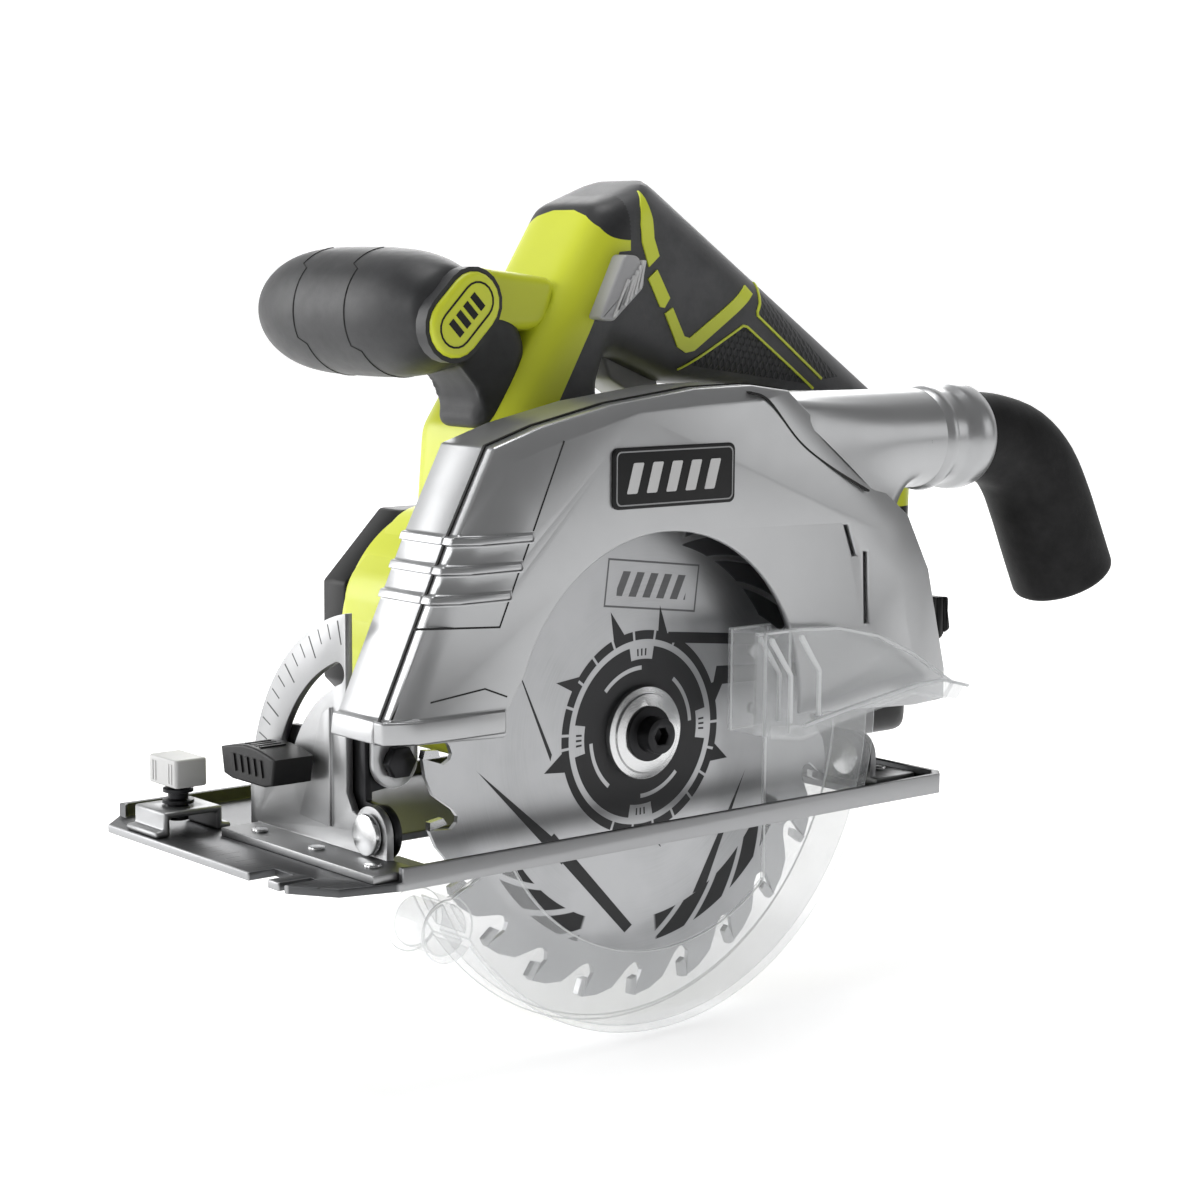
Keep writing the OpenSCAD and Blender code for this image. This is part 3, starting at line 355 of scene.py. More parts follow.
limePaint = mouldedPlastic("limeHousingPlastic", (0.68, 0.74, 0.035), 0.4, 0.01, coat=0.15)
limeInlay = mouldedPlastic("limeInlayPlastic", (0.72, 0.79, 0.05), 0.38, 0.008)
gripFinish = gripRubber("dimpledGripRubber")
noseFinish = rubber("noseRubber", (0.024, 0.0245, 0.026), 0.44)
handleRubber = rubber("frontHandleRubber", (0.02, 0.0205, 0.022), 0.46, 0.02)
blackPlastic = mouldedPlastic("blackMouldedPlastic", (0.008, 0.008, 0.0085), 0.4, 0.02, sheen=0.25)
greyPlastic = mouldedPlastic("greyButtonPlastic", (0.42, 0.42, 0.43), 0.38)
paleButton = mouldedPlastic("paleButtonPlastic", (0.62, 0.62, 0.62), 0.38)
whitePlastic = mouldedPlastic("whiteKnobPlastic", (0.56, 0.56, 0.555), 0.4)
silverPaint = castPaint("silverCastPaint", (0.46, 0.465, 0.472), 0.3)
gearAlloy = castPaint("rawGearcaseAlloy", (0.3, 0.31, 0.32), 0.5)
bladeFinish = bladeSteel("printedBladeSteel")
bladeTip = steel("carbideTips", (0.5, 0.505, 0.51), 0.24, (1, 14, 1), 0.5)
brightSteel = steel("turnedSteel", (0.74, 0.745, 0.75), 0.22)
soleSteel = pressedSteel("soleSteel", (0.11, 0.112, 0.116), "sole")
quadrantSteel = pressedSteel("quadrantSteel", (0.4, 0.403, 0.408), "quadrant")
platedSteel = pressedSteel("platedSteel", (0.33, 0.333, 0.338))
blackSteel = steel("blackOxideSteel", (0.035, 0.035, 0.037), 0.4, (4, 4, 4), 1.1)
clearFinish = clearPlastic("clearPolycarbonate")
# a more opaque, paler copy of the clear plastic for its edges: painted highlight standing in for the bright glint along
# clear edges
clearEdgeHighlight = clearPlastic("clearPolycarbonatePaintedEdgeHighlight", 0.62, 0.2)
copperFinish = copperWire("enamelledCopper")
# near-black for seams, the plaque and carbon, and for the black lines that paint shade into the guard's creases
inkSeamAndShadeBlack = rubber("blackSeamInkAndPaintedShade", (0.006, 0.006, 0.006), 0.7)
elbowRubber = rubber("elbowRubber", (0.005, 0.005, 0.0055), 0.6, 0.05, 0.25)
print("finishes made")

slotFinish = {
    "lime_plastic": limePaint, "dark_rubber": handleRubber, "black_plastic": blackPlastic,
    "grey_plastic": greyPlastic, "white_plastic": whitePlastic, "cast_silver": silverPaint,
    "gear_alloy": gearAlloy, "blade_steel": bladeFinish, "bright_steel": brightSteel,
    "plated_steel": platedSteel, "black_steel": blackSteel, "clear_plastic": clearFinish,
    "copper": copperFinish, "carbon": inkSeamAndShadeBlack,
}


# Mesh helpers

def spun(mesh, angle, axis):
    bmesh.ops.rotate(mesh, verts=mesh.verts[:], cent=(0, 0, 0), matrix=Matrix.Rotation(angle, 3, axis))


def moved(mesh, shift):
    bmesh.ops.translate(mesh, verts=mesh.verts[:], vec=shift)


def addPiece(name, mesh, body, material, replaces=(), crease=32, placed=False):
    bmesh.ops.recalc_face_normals(mesh, faces=mesh.faces[:])
    if not placed:
        mesh.transform(intoPlace)
    data = bpy.data.meshes.new(name)
    mesh.to_mesh(data)
    mesh.free()
    data.shade_smooth()
    data.set_sharp_from_angle(angle=math.radians(crease))
    data.materials.append(material)
    piece = bpy.data.objects.new(name, data)
    scene.collection.objects.link(piece)
    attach(piece, body)
    if replaces:
        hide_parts(*replaces)
    return piece


def softened(node, material=None, edge=0.4, segments=2, crease=32, flat=0.6):
    mesh = bmesh.new()
    mesh.from_mesh(frame["nodes"][node].data)
    bmesh.ops.remove_doubles(mesh, verts=mesh.verts[:], dist=0.00001)
    bmesh.ops.dissolve_limit(mesh, angle_limit=math.radians(flat), verts=mesh.verts[:], edges=mesh.edges[:])
    corners = [e for e in mesh.edges if len(e.link_faces) == 2 and e.calc_face_angle(0) > math.radians(crease)]
    # On the clear plastic the new bevel faces take the second slot, the more opaque edge copy: painted highlight along
    # its edges.
    bmesh.ops.bevel(mesh, geom=corners, offset=edge / 1000, offset_type="OFFSET", segments=segments,
                    profile=0.5, affect="EDGES", clamp_overlap=False,
                    material=1 if material is clearFinish else -1)
    piece = addPiece(node + ".soft", mesh, bodyOf[node], material or slotFinish[slotOf[node]],
                     [node], crease, placed=True)
    if material is clearFinish:
        piece.data.materials.append(clearEdgeHighlight)
    return piece


def flatShape(mesh, points, y, corner=0.0, segments=5):
    corners = [mesh.verts.new((x, y, z)) for x, z in points]
    mesh.faces.new(corners)
    if corner:
        bmesh.ops.bevel(mesh, geom=corners, offset=corner, offset_type="OFFSET", segments=segments, profile=0.5,
                        affect="VERTICES", clamp_overlap=True, material=-1)


def slab(points, near, far, corner=0.0, holes=(), rounding=0.0, steps=5, holeCorner=None, farRounding=None):
    mesh = bmesh.new()
    flatShape(mesh, points, near + rounding, corner)
    for hole in holes:
        flatShape(mesh, hole, near + rounding, corner if holeCorner is None else holeCorner)
    if holes:
        bmesh.ops.delete(mesh, geom=mesh.faces[:], context="FACES_ONLY")
        bmesh.ops.triangle_fill(mesh, edges=mesh.edges[:], use_beauty=True, use_dissolve=False,
                                normal=(0, -1, 0))
    farRounding = rounding if farRounding is None else farRounding
    grown = bmesh.ops.extrude_face_region(mesh, geom=mesh.faces[:])["geom"]
    bmesh.ops.translate(mesh, verts=[g for g in grown if isinstance(g, bmesh.types.BMVert)],
                        vec=(0, far - near - rounding - farRounding, 0))
    bmesh.ops.recalc_face_normals(mesh, faces=mesh.faces[:])
    for direction, radius in ((-1, rounding), (1, farRounding)):
        for k in range(steps if radius else 0):
            start, end = (math.radians(90 * a / steps) for a in (k, k + 1))
            caps = [f for f in mesh.faces if f.normal.y * direction > 0.999]
            edgeFace = max(f.calc_center_median().y * direction for f in caps)
            caps = [f for f in caps if f.calc_center_median().y * direction > edgeFace - 0.001]
            inward, outward = math.cos(start) - math.cos(end), math.sin(end) - math.sin(start)
            bmesh.ops.inset_region(mesh, faces=caps, thickness=radius * inward, depth=radius * outward,
                                   use_boundary=True, use_even_offset=True)
    return mesh


def turned(profile, steps=96, x=0.0, z=0.0):
    mesh = bmesh.new()
    dots = [mesh.verts.new((x + r, along, z)) for r, along in profile]
    for first, second in zip(dots, dots[1:]):
        mesh.edges.new((first, second))
    bmesh.ops.spin(mesh, geom=mesh.verts[:] + mesh.edges[:], cent=(x, 0, z), axis=(0, 1, 0), dvec=(0, 0, 0),
                   angle=math.tau, steps=steps, use_merge=True)
    bmesh.ops.remove_doubles(mesh, verts=mesh.verts[:], dist=0.001)
    return mesh


def stripe(line, width, near, far, lift=0.0):
    mesh = bmesh.new()
    dots = [mesh.verts.new((x, near, z)) for x, z in line]
    edges = [mesh.edges.new(pair) for pair in zip(dots, dots[1:])]
    grown = bmesh.ops.extrude_edge_only(mesh, edges=edges)["geom"]
    bmesh.ops.translate(mesh, verts=[g for g in grown if isinstance(g, bmesh.types.BMVert)], vec=(0, far - near, 0))
    bmesh.ops.recalc_face_normals(mesh, faces=mesh.faces[:])
    bmesh.ops.solidify(mesh, geom=mesh.faces[:], thickness=width)
    if lift:
        bmesh.ops.bevel(mesh, geom=[e for e in mesh.edges if e.calc_face_angle(0) > 1], offset=lift, segments=2,
                        profile=0.5, affect="EDGES", clamp_overlap=True, material=-1)
    return mesh


def joined(*meshes):
    whole = bmesh.new()
    for mesh in meshes:
        data = bpy.data.meshes.new("part")
        mesh.to_mesh(data)
        mesh.free()
        whole.from_mesh(data)
        bpy.data.meshes.remove(data)
    return whole


def smoothCurve(points, each=6):
    spots = [Vector(p) for p in points]
    out = []
    for i in range(len(spots) - 1):
        a, b, c, d = (spots[min(max(i + k, 0), len(spots) - 1)] for k in (-1, 0, 1, 2))
        for j in range(each):
            t = j / each
            slope, bend, twist = c - a, 2 * a - 5 * b + 4 * c - d, 3 * b - a - 3 * c + d
            out.append(tuple(0.5 * (2 * b + slope * t + bend * t * t + twist * t ** 3)))
    return out + [tuple(spots[-1])]


def evaluated(shape):
    mesh = bmesh.new()
    ready = shape.evaluated_get(bpy.context.evaluated_depsgraph_get())
    mesh.from_mesh(bpy.data.meshes.new_from_object(ready))
    return mesh


def cutWith(mesh, cutter, operation="DIFFERENCE"):
    solids = []
    for name, shape in (("cutMain", mesh), ("cutTool", cutter)):
        bmesh.ops.recalc_face_normals(shape, faces=shape.faces[:])
        data = bpy.data.meshes.new(name)
        shape.to_mesh(data)
        shape.free()
        solids.append(bpy.data.objects.new(name, data))
        scene.collection.objects.link(solids[-1])
    cut = solids[0].modifiers.new("cut", "BOOLEAN")
    cut.operation, cut.object, cut.solver = operation, solids[1], "EXACT"
    result = evaluated(solids[0])
    for solid in solids:
        bpy.data.objects.remove(solid)
    return result


def remeshed(mesh, voxel, rounds=8, pull=0.5):
    bmesh.ops.recalc_face_normals(mesh, faces=mesh.faces[:])
    data = bpy.data.meshes.new("rough")
    mesh.to_mesh(data)
    mesh.free()
    rough = bpy.data.objects.new("rough", data)
    scene.collection.objects.link(rough)
    cells = rough.modifiers.new("cells", "REMESH")
    cells.mode, cells.voxel_size = "VOXEL", voxel
    relax = rough.modifiers.new("relax", "SMOOTH")
    relax.factor, relax.iterations = pull, rounds
    result = evaluated(rough)
    bpy.data.objects.remove(rough)
    return result


# Main handle: a rounded column and grip round the finger opening, cut into its lime and rubber pieces

handleShape = {
    "outline": [(-44, 40), (-40, 92), (-9, 138), (5, 160), (27, 168.5), (43, 161), (84, 137.5), (137, 99.5),
                (147, 76), (146, 34), (147, -20), (97, -20), (60, -10), (10, 0), (-30, 10)],
    "opening": [(14, 71), (4.5, 104), (8.5, 115), (34, 105), (62, 102), (106, 88), (116, 68), (106, 42),
                (62, 31), (38, 56)],
    "near": 21.5, "far": 64.5, "rounding": 10,
    "ridge": {"from": (43, 161), "to": (137, 99), "deep": 20},
    "rubberZone": [(13.4, 146), (13, 190), (180, 190), (180, 94), (130, 90), (118, 72), (60, 80), (20, 66),
                   (-34, 66), (-16, 98.2), (-3.1, 120.8), (-1.4, 124), (8.9, 145.6)],
    "noseZone": [(-40, 128), (-40, 190), (13.6, 190), (13.6, 128)],
    "noseArch": [(17, 90), (17, 142), (20, 147.5), (25, 153), (31, 156.6), (38, 158.4), (48, 158.4),
                 (55, 156.6), (61, 153), (66, 147.5), (69, 142), (69, 90)],
}


# A long half-oval tunnel along the grip's back rounds it off
def ridgeVolume():
    (x0, z0), (x1, z1) = handleShape["ridge"]["from"], handleShape["ridge"]["to"]
    wide, deep = (handleShape["far"] - handleShape["near"]) / 2, handleShape["ridge"]["deep"]
    oval = [(wide * math.cos(math.pi * k / 24), deep * math.sin(math.pi * k / 24) - deep) for k in range(25)]
    tunnel = slab(oval + [(-wide, -260), (wide, -260)], -160, 220)
    spun(tunnel, -math.pi / 2, "Z")
    spun(tunnel, math.atan2(z0 - z1, x1 - x0), "Y")
    moved(tunnel, (x0, (handleShape["near"] + handleShape["far"]) / 2, z0))
    return tunnel


rough = remeshed(slab(handleShape["outline"], handleShape["near"], handleShape["far"], 0,
                      [handleShape["opening"]], handleShape["rounding"]), 1.5, 2)
blank = remeshed(cutWith(rough, ridgeVolume(), "INTERSECT"), 1.5, 12)
skin = blank.copy()  # half a millimetre proud of the handle, for the inlays
skin.normal_update()
for vert in skin.verts:
    vert.co += vert.normal * 0.5


def noseVolume():
    zone = slab(handleShape["noseZone"], 0, 90)
    archSolid = slab([(-y, z) for y, z in handleShape["noseArch"]], -60, 40)
    spun(archSolid, -math.pi / 2, "Z")
    return cutWith(zone, archSolid)


socketBox = {"x": (104, 170), "y": (28, 58), "z": (-16, 18)}


def boxOf(x, y, z):
    mesh = bmesh.new()
    bmesh.ops.create_cube(mesh, size=1)
    bmesh.ops.scale(mesh, verts=mesh.verts[:], vec=(x[1] - x[0], y[1] - y[0], z[1] - z[0]))
    moved(mesh, (sum(x) / 2, sum(y) / 2, sum(z) / 2))
    return mesh


def rubberVolume():
    return slab(handleShape["rubberZone"], 0, 90)


nose = cutWith(blank.copy(), noseVolume(), "INTERSECT")
addPiece("handle_nose", nose, "saw", noseFinish, ["nose_cap"])
grip = cutWith(blank.copy(), rubberVolume(), "INTERSECT")
addPiece("handle_grip", grip, "saw", gripFinish, ["grip_overmould"])
column = cutWith(blank, rubberVolume())
column = cutWith(column, noseVolume())
column = cutWith(column, boxOf(**socketBox))
# the lower rear of the housing is black plastic: partly the real black battery foot, partly painted shade for the
# shadow under the handle's rear
foot = cutWith(column.copy(), boxOf((84, 160), (0, 90), (-40, 60)), "INTERSECT")
column = cutWith(column, boxOf((84, 160), (0, 90), (-40, 60)))
addPiece("battery_foot_shade_black", foot, "saw", blackPlastic)
motorShape = {"x": -5, "z": 23.47, "radius": 43, "near": 14, "far": 95}
octagon = [(motorShape["x"] + motorShape["radius"] * math.cos(math.radians(a)),
            motorShape["z"] + motorShape["radius"] * math.sin(math.radians(a))) for a in range(22, 382, 45)]
barrel = slab(octagon, motorShape["near"], motorShape["far"], 6, rounding=2.5)
belly = turned([(24.6, 14), (26.4, 14), (27, 14.6), (27, 38.4), (26.4, 39), (0, 39), (0, 37.5),
                (24.6, 37.5), (24.6, 14)])
addPiece("handle_column", column, "saw", limePaint, ["housing_left", "housing_right"])
addPiece("motor_barrel", barrel, "saw", limePaint)
addPiece("gearcase_belly", belly, "saw", limePaint)
print("main handle made")

inlays = {
    "top": [(20.4, 164.5), (18.4, 160), (17.4, 154), (17.8, 148.5), (20.6, 141), (24.8, 144.4),
            (22.6, 150), (22.4, 156)],
    "middle": [(20.4, 137.4), (24, 140.2), (29.4, 131.4), (27.2, 128.4), (25.4, 128.6)],
    "vee": [(27.4, 126.6), (30.6, 128.4), (35.6, 119.4), (38, 118.8), (64.4, 135.4), (67.4, 132.6),
            (40, 114.8), (36.6, 114.2), (33, 116)],
    "frontPad": [(97, 104.3), (67.6, 125.4), (67.7, 127), (70, 129.6), (71.9, 133.2), (74, 136.4)],
    "rearPad": [(35, 109.2), (61, 122.8), (63, 122.4), (93.5, 101.8)],
}
bands = joined(*[slab(inlays[name], 10, 76) for name in ("top", "middle", "vee")])
edging = joined(stripe(inlays["frontPad"], 0.8, 10, 76), stripe(inlays["rearPad"], 0.7, 10, 76))
addPiece("grip_inlays", cutWith(skin.copy(), bands, "INTERSECT"), "saw", limeInlay)
addPiece("pad_edging", cutWith(skin, edging, "INTERSECT"), "saw", limeInlay)
screwTops = {(-22, 98): 63.6, (-8, 124): 63.4, (141, 79): 61.6, (142, 50): 61.6, (72, 10): 63.6}
screwHead = [(0, -4), (3, -4), (3, -0.5), (2.5, 0), (1.5, 0), (1.4, -1.2), (0, -1.2)]
heads = [turned([(r, top + along) for r, along in screwHead], 24, x, z) for (x, z), top in screwTops.items()]
addPiece("housing_screw_heads", joined(*heads), "saw", blackSteel, ["housing_screws"])
print("grip inlays made")

# Front handle: a rubber bar that swells in the middle and runs down into its neck

barHandle = {
    "axis": (-57, 127), "near": 16, "length": 92, "radius": 19.6,
    "neck": [(-30, 91.5), (-43, 92.4), (-39, 102), (-50, 114), (-56, 130), (-27, 127), (-21, 117)],
    "neckSides": (27, 50), "voxel": 1.2,
    "arm": [(-58, 120), (-53, 137), (-41, 141), (-10, 137.5), (-14, 122)],
}


def barProfile():
    rows = []
    for i in range(25):
        t = 2 * i / 24 - 1
        taper, endRound = 0.34 + 0.1 * (t > 0), 0.12 * max(0, abs(t) - 0.92) / 0.08
        rows.append((barHandle["radius"] * (1 - taper * t ** 4 - 0.06 * t * t - endRound),
                     barHandle["near"] + barHandle["length"] * i / 24))
    return [(0, rows[0][1]), *rows, (0, rows[-1][1])]


def barRadiusAt(share):
    rows = barProfile()[1:-1]
    r, y = rows[round(share * (len(rows) - 1))]
    return r - 0.1, y


def cord(points, radius, around=6):
    mesh = bmesh.new()
    loops = []
    for i, point in enumerate(points):
        ahead = (Vector(points[min(i + 1, len(points) - 1)]) - Vector(points[max(i - 1, 0)])).normalized()
        side = ahead.cross(Vector((0.3, 1, 0.2))).normalized()
        up = ahead.cross(side)
        dots = [mesh.verts.new(Vector(point) + radius * (side * math.cos(a) + up * math.sin(a)))
                for a in [math.tau * k / around for k in range(around)]]
        loops.append([mesh.edges.new((dots[k], dots[(k + 1) % around])) for k in range(around)])
    for first, second in zip(loops, loops[1:]):
        bmesh.ops.bridge_loops(mesh, edges=first + second)
    bmesh.ops.holes_fill(mesh, edges=loops[0] + loops[-1], sides=0)
    return mesh


bar = turned(barProfile(), 64, *barHandle["axis"])
neck = slab(barHandle["neck"], *barHandle["neckSides"], 5, rounding=4)
rubberHandle = remeshed(joined(bar, neck), barHandle["voxel"], 10)
addPiece("front_handle_rubber", rubberHandle, "saw", handleRubber, ["front_handle_grip"],
         crease=60)
arm = remeshed(slab(barHandle["arm"], 27.5, 58.5, 4, rounding=3.5), 0.8, 4)
addPiece("front_handle_bridge", arm, "saw", limePaint, ["front_handle_arm"], crease=60)

barSeams = []
for share in (0.33, 0.62):
    around = [(barHandle["axis"][0] + r * math.cos(a), y, barHandle["axis"][1] + r * math.sin(a))
              for a in [math.radians(6 * k) for k in range(16, 56)]
              for r, y in [barRadiusAt(share + 0.035 * math.sin(a))]]
    barSeams.append(cord(around, 0.28))
addPiece("front_handle_seams", joined(*barSeams), "saw", inkSeamAndShadeBlack)

capShape = {"half": 12.5, "wide": 9.2, "near": 11.9, "far": 18, "tilt": 45}


def stadium(half, wide, rounds=10):
    angles = [math.pi * (k / rounds - 0.5) for k in range(rounds + 1)]
    ends = [(half + wide * math.cos(a) - wide, wide * math.sin(a)) for a in angles]
    return ends + [(-x, -z) for x, z in ends]


half, wide = capShape["half"] + 1.5, capShape["wide"]
cap = slab(stadium(half, wide), capShape["near"], capShape["far"], rounding=1.6)
rim = slab(stadium(half + 1.4, wide + 1.4), capShape["near"] + 1.4, capShape["far"],
           holes=[stadium(half - 0.3, wide - 0.3)])
plaque = joined(slab(stadium(half - 2.6, wide - 3.4), capShape["near"] - 0.12, capShape["near"] + 1,
                     holes=[stadium(half - 3.2, wide - 4)]),
                *[slab([(x - 1.1, -2.8), (x + 1.1, -2.8), (x + 1.1, 2.8), (x - 1.1, 2.8)],
                       capShape["near"] - 0.12, capShape["near"] + 1) for x in (-5.4, -1.8, 1.8, 5.4)])
for mesh in (cap, rim, plaque):
    spun(mesh, math.radians(-capShape["tilt"]), "Y")
    moved(mesh, (barHandle["axis"][0], 0, barHandle["axis"][1]))
addPiece("front_handle_end", cap, "saw", limePaint, ["front_handle_cap"])
addPiece("front_handle_rim", rim, "saw", handleRubber)
addPiece("front_handle_plaque", plaque, "saw", inkSeamAndShadeBlack)
print("front handle made")

# Lock-off button with its thumb ribs

buttonShape = {"near": 15.6, "outline": [(6.4, 144.8), (11.6, 144.4), (14.4, 140.2), (14, 134.6), (2, 124.4),
                                         (-3.6, 125.3)]}
button = slab(buttonShape["outline"], buttonShape["near"], 22.4, 1.2, rounding=1.0)
addPiece("lock_off_pad", button, "lock_off", greyPlastic, ["lock_off_button"])
ribs = joined(*[stripe([(1.2 + 2.0 * k, 126 + 1.7 * k), (6.4 + 1.35 * k, 135.4 + 1.55 * k)], 0.9,
                       buttonShape["near"] - 0.9, buttonShape["near"] + 1.2, 0.15) for k in range(6)])
addPiece("lock_off_ribs", ribs, "lock_off", paleButton)

# Guard details: seams, black lines along the panel creases as painted shade, the badge plate with a plain motif

guardLines = {
    "rim": [(171.5, 23.5), (156, 19), (141.5, 22), (127, 31), (118.5, 26.5), (104, 22), (86, 23),
            (74, 27.5), (66, 31)],
    "panel": [(-46, 92), (-57.5, 66), (-69, 40.6), (-98, 42.4)],
    "lip": [(-93, 21.5), (-74, 23.5), (-66, 20.4)],
    "throat": [(27, 104), (34.8, 101.2), (47.8, 88.5), (61.1, 80.2), (79.1, 71.5)],
    "face": -19.0,
}
bladeRadius = 82.5
rimLine = [((bladeRadius + gap) * math.cos(math.radians(a)), (bladeRadius + gap) * math.sin(math.radians(a)))
           for a, gap in guardLines["rim"]]
seamOut = 1.0008  # keeps the seam just outside the guard's edge
seam = stripe([(x * seamOut, z * seamOut) for x, z in rimLine], -0.5, -11.9, -10.9)
# black strips along the guard's panel crease, lip and spout throat: painted shade where these creases fall dark
panel = joined(stripe(guardLines["panel"], 0.55, guardLines["face"] - 0.05, guardLines["face"] + 1),
               stripe(guardLines["lip"], 0.5, guardLines["face"] - 0.05, guardLines["face"] + 1),
               stripe(smoothCurve(guardLines["throat"]), 0.6, guardLines["face"] - 0.1, guardLines["face"] + 9))
addPiece("guard_seam", seam, "saw", inkSeamAndShadeBlack)
addPiece("guard_panel_painted_shade_lines", panel, "saw", inkSeamAndShadeBlack)
for node, edge in (("upper_guard_outer", 0.7), ("upper_guard_inner", 0.6)):
    softened(node, silverPaint, edge, 3)

spoutShape = {
    "axis": (0, 85.6), "radius": 16.4, "flareEnd": 112, "foot": ((40, 103.4), (97.5, 60)),
    "sides": (-17.2, 9.4), "steps": 10, "around": 64,
}


def spoutFlare():
    mesh = bmesh.new()
    (topX, topZ), (lowX, lowZ) = spoutShape["foot"]
    nearSide, farSide = spoutShape["sides"]
    loops = []
    for k in range(spoutShape["steps"] + 1):
        t = k / spoutShape["steps"]
        ease = 1 - (1 - t) ** 2.2
        ring = []
        for i in range(spoutShape["around"]):
            angle = math.tau * i / spoutShape["around"]
            c, n = math.cos(angle), math.sin(angle)
            square = 1 / max(abs(c), abs(n)) ** 0.62  # the foot is a rounded rectangle
            y0 = (nearSide + farSide) / 2 + (farSide - nearSide) / 2 * min(1, max(-1, c * square))
            share = (1 - min(1, max(-1, n * square))) / 2
            foot = Vector((topX + (lowX - topX) * share, y0, topZ + (lowZ - topZ) * share))
            end = Vector((spoutShape["flareEnd"], spoutShape["axis"][0] + spoutShape["radius"] * c,
                          spoutShape["axis"][1] + spoutShape["radius"] * n))
            spot = foot.lerp(end, t)
            spot.y = foot.y + (end.y - foot.y) * ease
            spot.z = foot.z + (end.z - foot.z) * ease
            ring.append(mesh.verts.new(spot))
        edges = [mesh.edges.new((ring[i], ring[(i + 1) % len(ring)])) for i in range(len(ring))]
        loops.append(edges)
    for first, second in zip(loops, loops[1:]):
        bmesh.ops.bridge_loops(mesh, edges=first + second)
    return mesh


flare = spoutFlare()
tube = turned([(16.4, -111.9), (16.4, -118), (17.3, -119.4), (17.6, -121), (17.3, -122.6), (16, -124), (15.8, -128),
               (16.2, -130.5), (17.4, -132.4), (17.8, -134.6), (17.8, -138), (17.2, -140.8), (16.4, -142), (13.5, -142),
               (13.5, -112)], 96)
spun(tube, math.pi / 2, "Z")
moved(tube, (0, spoutShape["axis"][0], spoutShape["axis"][1]))
addPiece("spout_flare", flare, "saw", silverPaint, ["dust_spout"], crease=50)
addPiece("spout_tube", tube, "saw", silverPaint)

elbowShape = {
    "path": [(139, 85.6), (146, 85.4), (156, 84), (168, 79.5), (177, 71.5), (184, 60), (190, 48), (196.5, 35)],
    "radii": [14.4, 14.6, 15.2, 16.4, 17.2, 17.6, 17.8, 17.9], "around": 56, "lip": 1.8,
    "inside": {0.86: 1.8, 0.82: -30},  # share of the radius: how far past the end
}


def elbowTube():
    mesh = bmesh.new()
    path = smoothCurve(elbowShape["path"], 4)
    radii = [r for r, z in smoothCurve([(r, 0) for r in elbowShape["radii"]], 4)]
    rings = []
    for i, ((x, z), radius) in enumerate(zip(path, radii)):
        (xa, za), (xb, zb) = path[max(i - 1, 0)], path[min(i + 1, len(path) - 1)]
        run = math.hypot(xb - xa, zb - za)
        upX, upZ = -(zb - za) / run, (xb - xa) / run
        rings.append([(x + upX * radius * math.sin(a), radius * math.cos(a), z + upZ * radius * math.sin(a))
                      for a in [math.tau * k / elbowShape["around"] for k in range(elbowShape["around"])]])
    (xa, za), (xb, zb) = path[-2], path[-1]
    run = math.hypot(xb - xa, zb - za)
    ahead = Vector(((xb - xa) / run, 0, (zb - za) / run))
    end, middle = rings[-1], Vector((xb, 0, zb))
    lip = elbowShape["lip"]
    for k in (30, 60, 90):
        push = lip * math.sin(math.radians(k))
        shrink = 1 - lip * (1 - math.cos(math.radians(k))) / radii[-1]
        rings.append([tuple(middle + (Vector(p) - middle) * shrink + ahead * push) for p in end])
    for inner, push in elbowShape["inside"].items():
        rings.append([tuple(middle + (Vector(p) - middle) * inner + ahead * push) for p in end])
    loops = []
    for ring in rings:
        dots = [mesh.verts.new(p) for p in ring]
        loops.append([mesh.edges.new((dots[i], dots[(i + 1) % len(dots)])) for i in range(len(dots))])
    for first, second in zip(loops, loops[1:]):
        bmesh.ops.bridge_loops(mesh, edges=first + second)
    bmesh.ops.holes_fill(mesh, edges=loops[0], sides=0)
    bmesh.ops.holes_fill(mesh, edges=loops[-1], sides=0)
    return mesh


addPiece("elbow_tube", elbowTube(), "dust_elbow", elbowRubber, ["dust_elbow"], crease=50)

badge = {"low": (-28, 71), "high": (20, 89), "near": -20.0, "far": -18.9}
(x0, z0), (x1, z1) = badge["low"], badge["high"]
framed = {inset: [(x0 + inset, z0 + inset), (x1 - inset, z0 + inset), (x1 - inset, z1 - inset),
                  (x0 + inset, z1 - inset)] for inset in (0, 1, 1.4)}
plate = slab(framed[0], badge["near"], badge["far"], 2.2, rounding=0.4, farRounding=0)
border = slab(framed[1], badge["near"] - 0.1, badge["far"], 1.8, holes=[framed[1.4]], holeCorner=1.6)
motif = joined(*[slab([(x, 75.5), (x + 4, 75.5), (x + 6.6, 84.5), (x + 2.6, 84.5)], badge["near"] - 0.12,
                      badge["far"], 0.5) for x in (-23, -15.4, -7.8, -0.2, 7.4)])
addPiece("badge_plate", plate, "saw", blackPlastic, ["guard_badge"])
addPiece("badge_border", border, "saw", platedSteel)
addPiece("badge_motif", motif, "saw", paleButton)
print("guard made")

# Carbide tips brazed on the blade's teeth

toothShape = {"count": 24, "first": 13.94, "thick": 2.3,
              "tip": [(82.55, 0.15), (81.9, -2.3), (77.2, -1.9), (76.4, 0.3)]}
tips = []
for k in range(toothShape["count"]):
    angle = toothShape["first"] + 360 / toothShape["count"] * k
    tip = slab(toothShape["tip"], -toothShape["thick"] / 2, toothShape["thick"] / 2)
    spun(tip, math.radians(-angle), "Y")
    tips.append(tip)
addPiece("carbide_tips", joined(*tips), "blade", bladeTip)
print("blade made")

# The clear lever on the lower guard: a hollow post with gussets and a long tapering tray

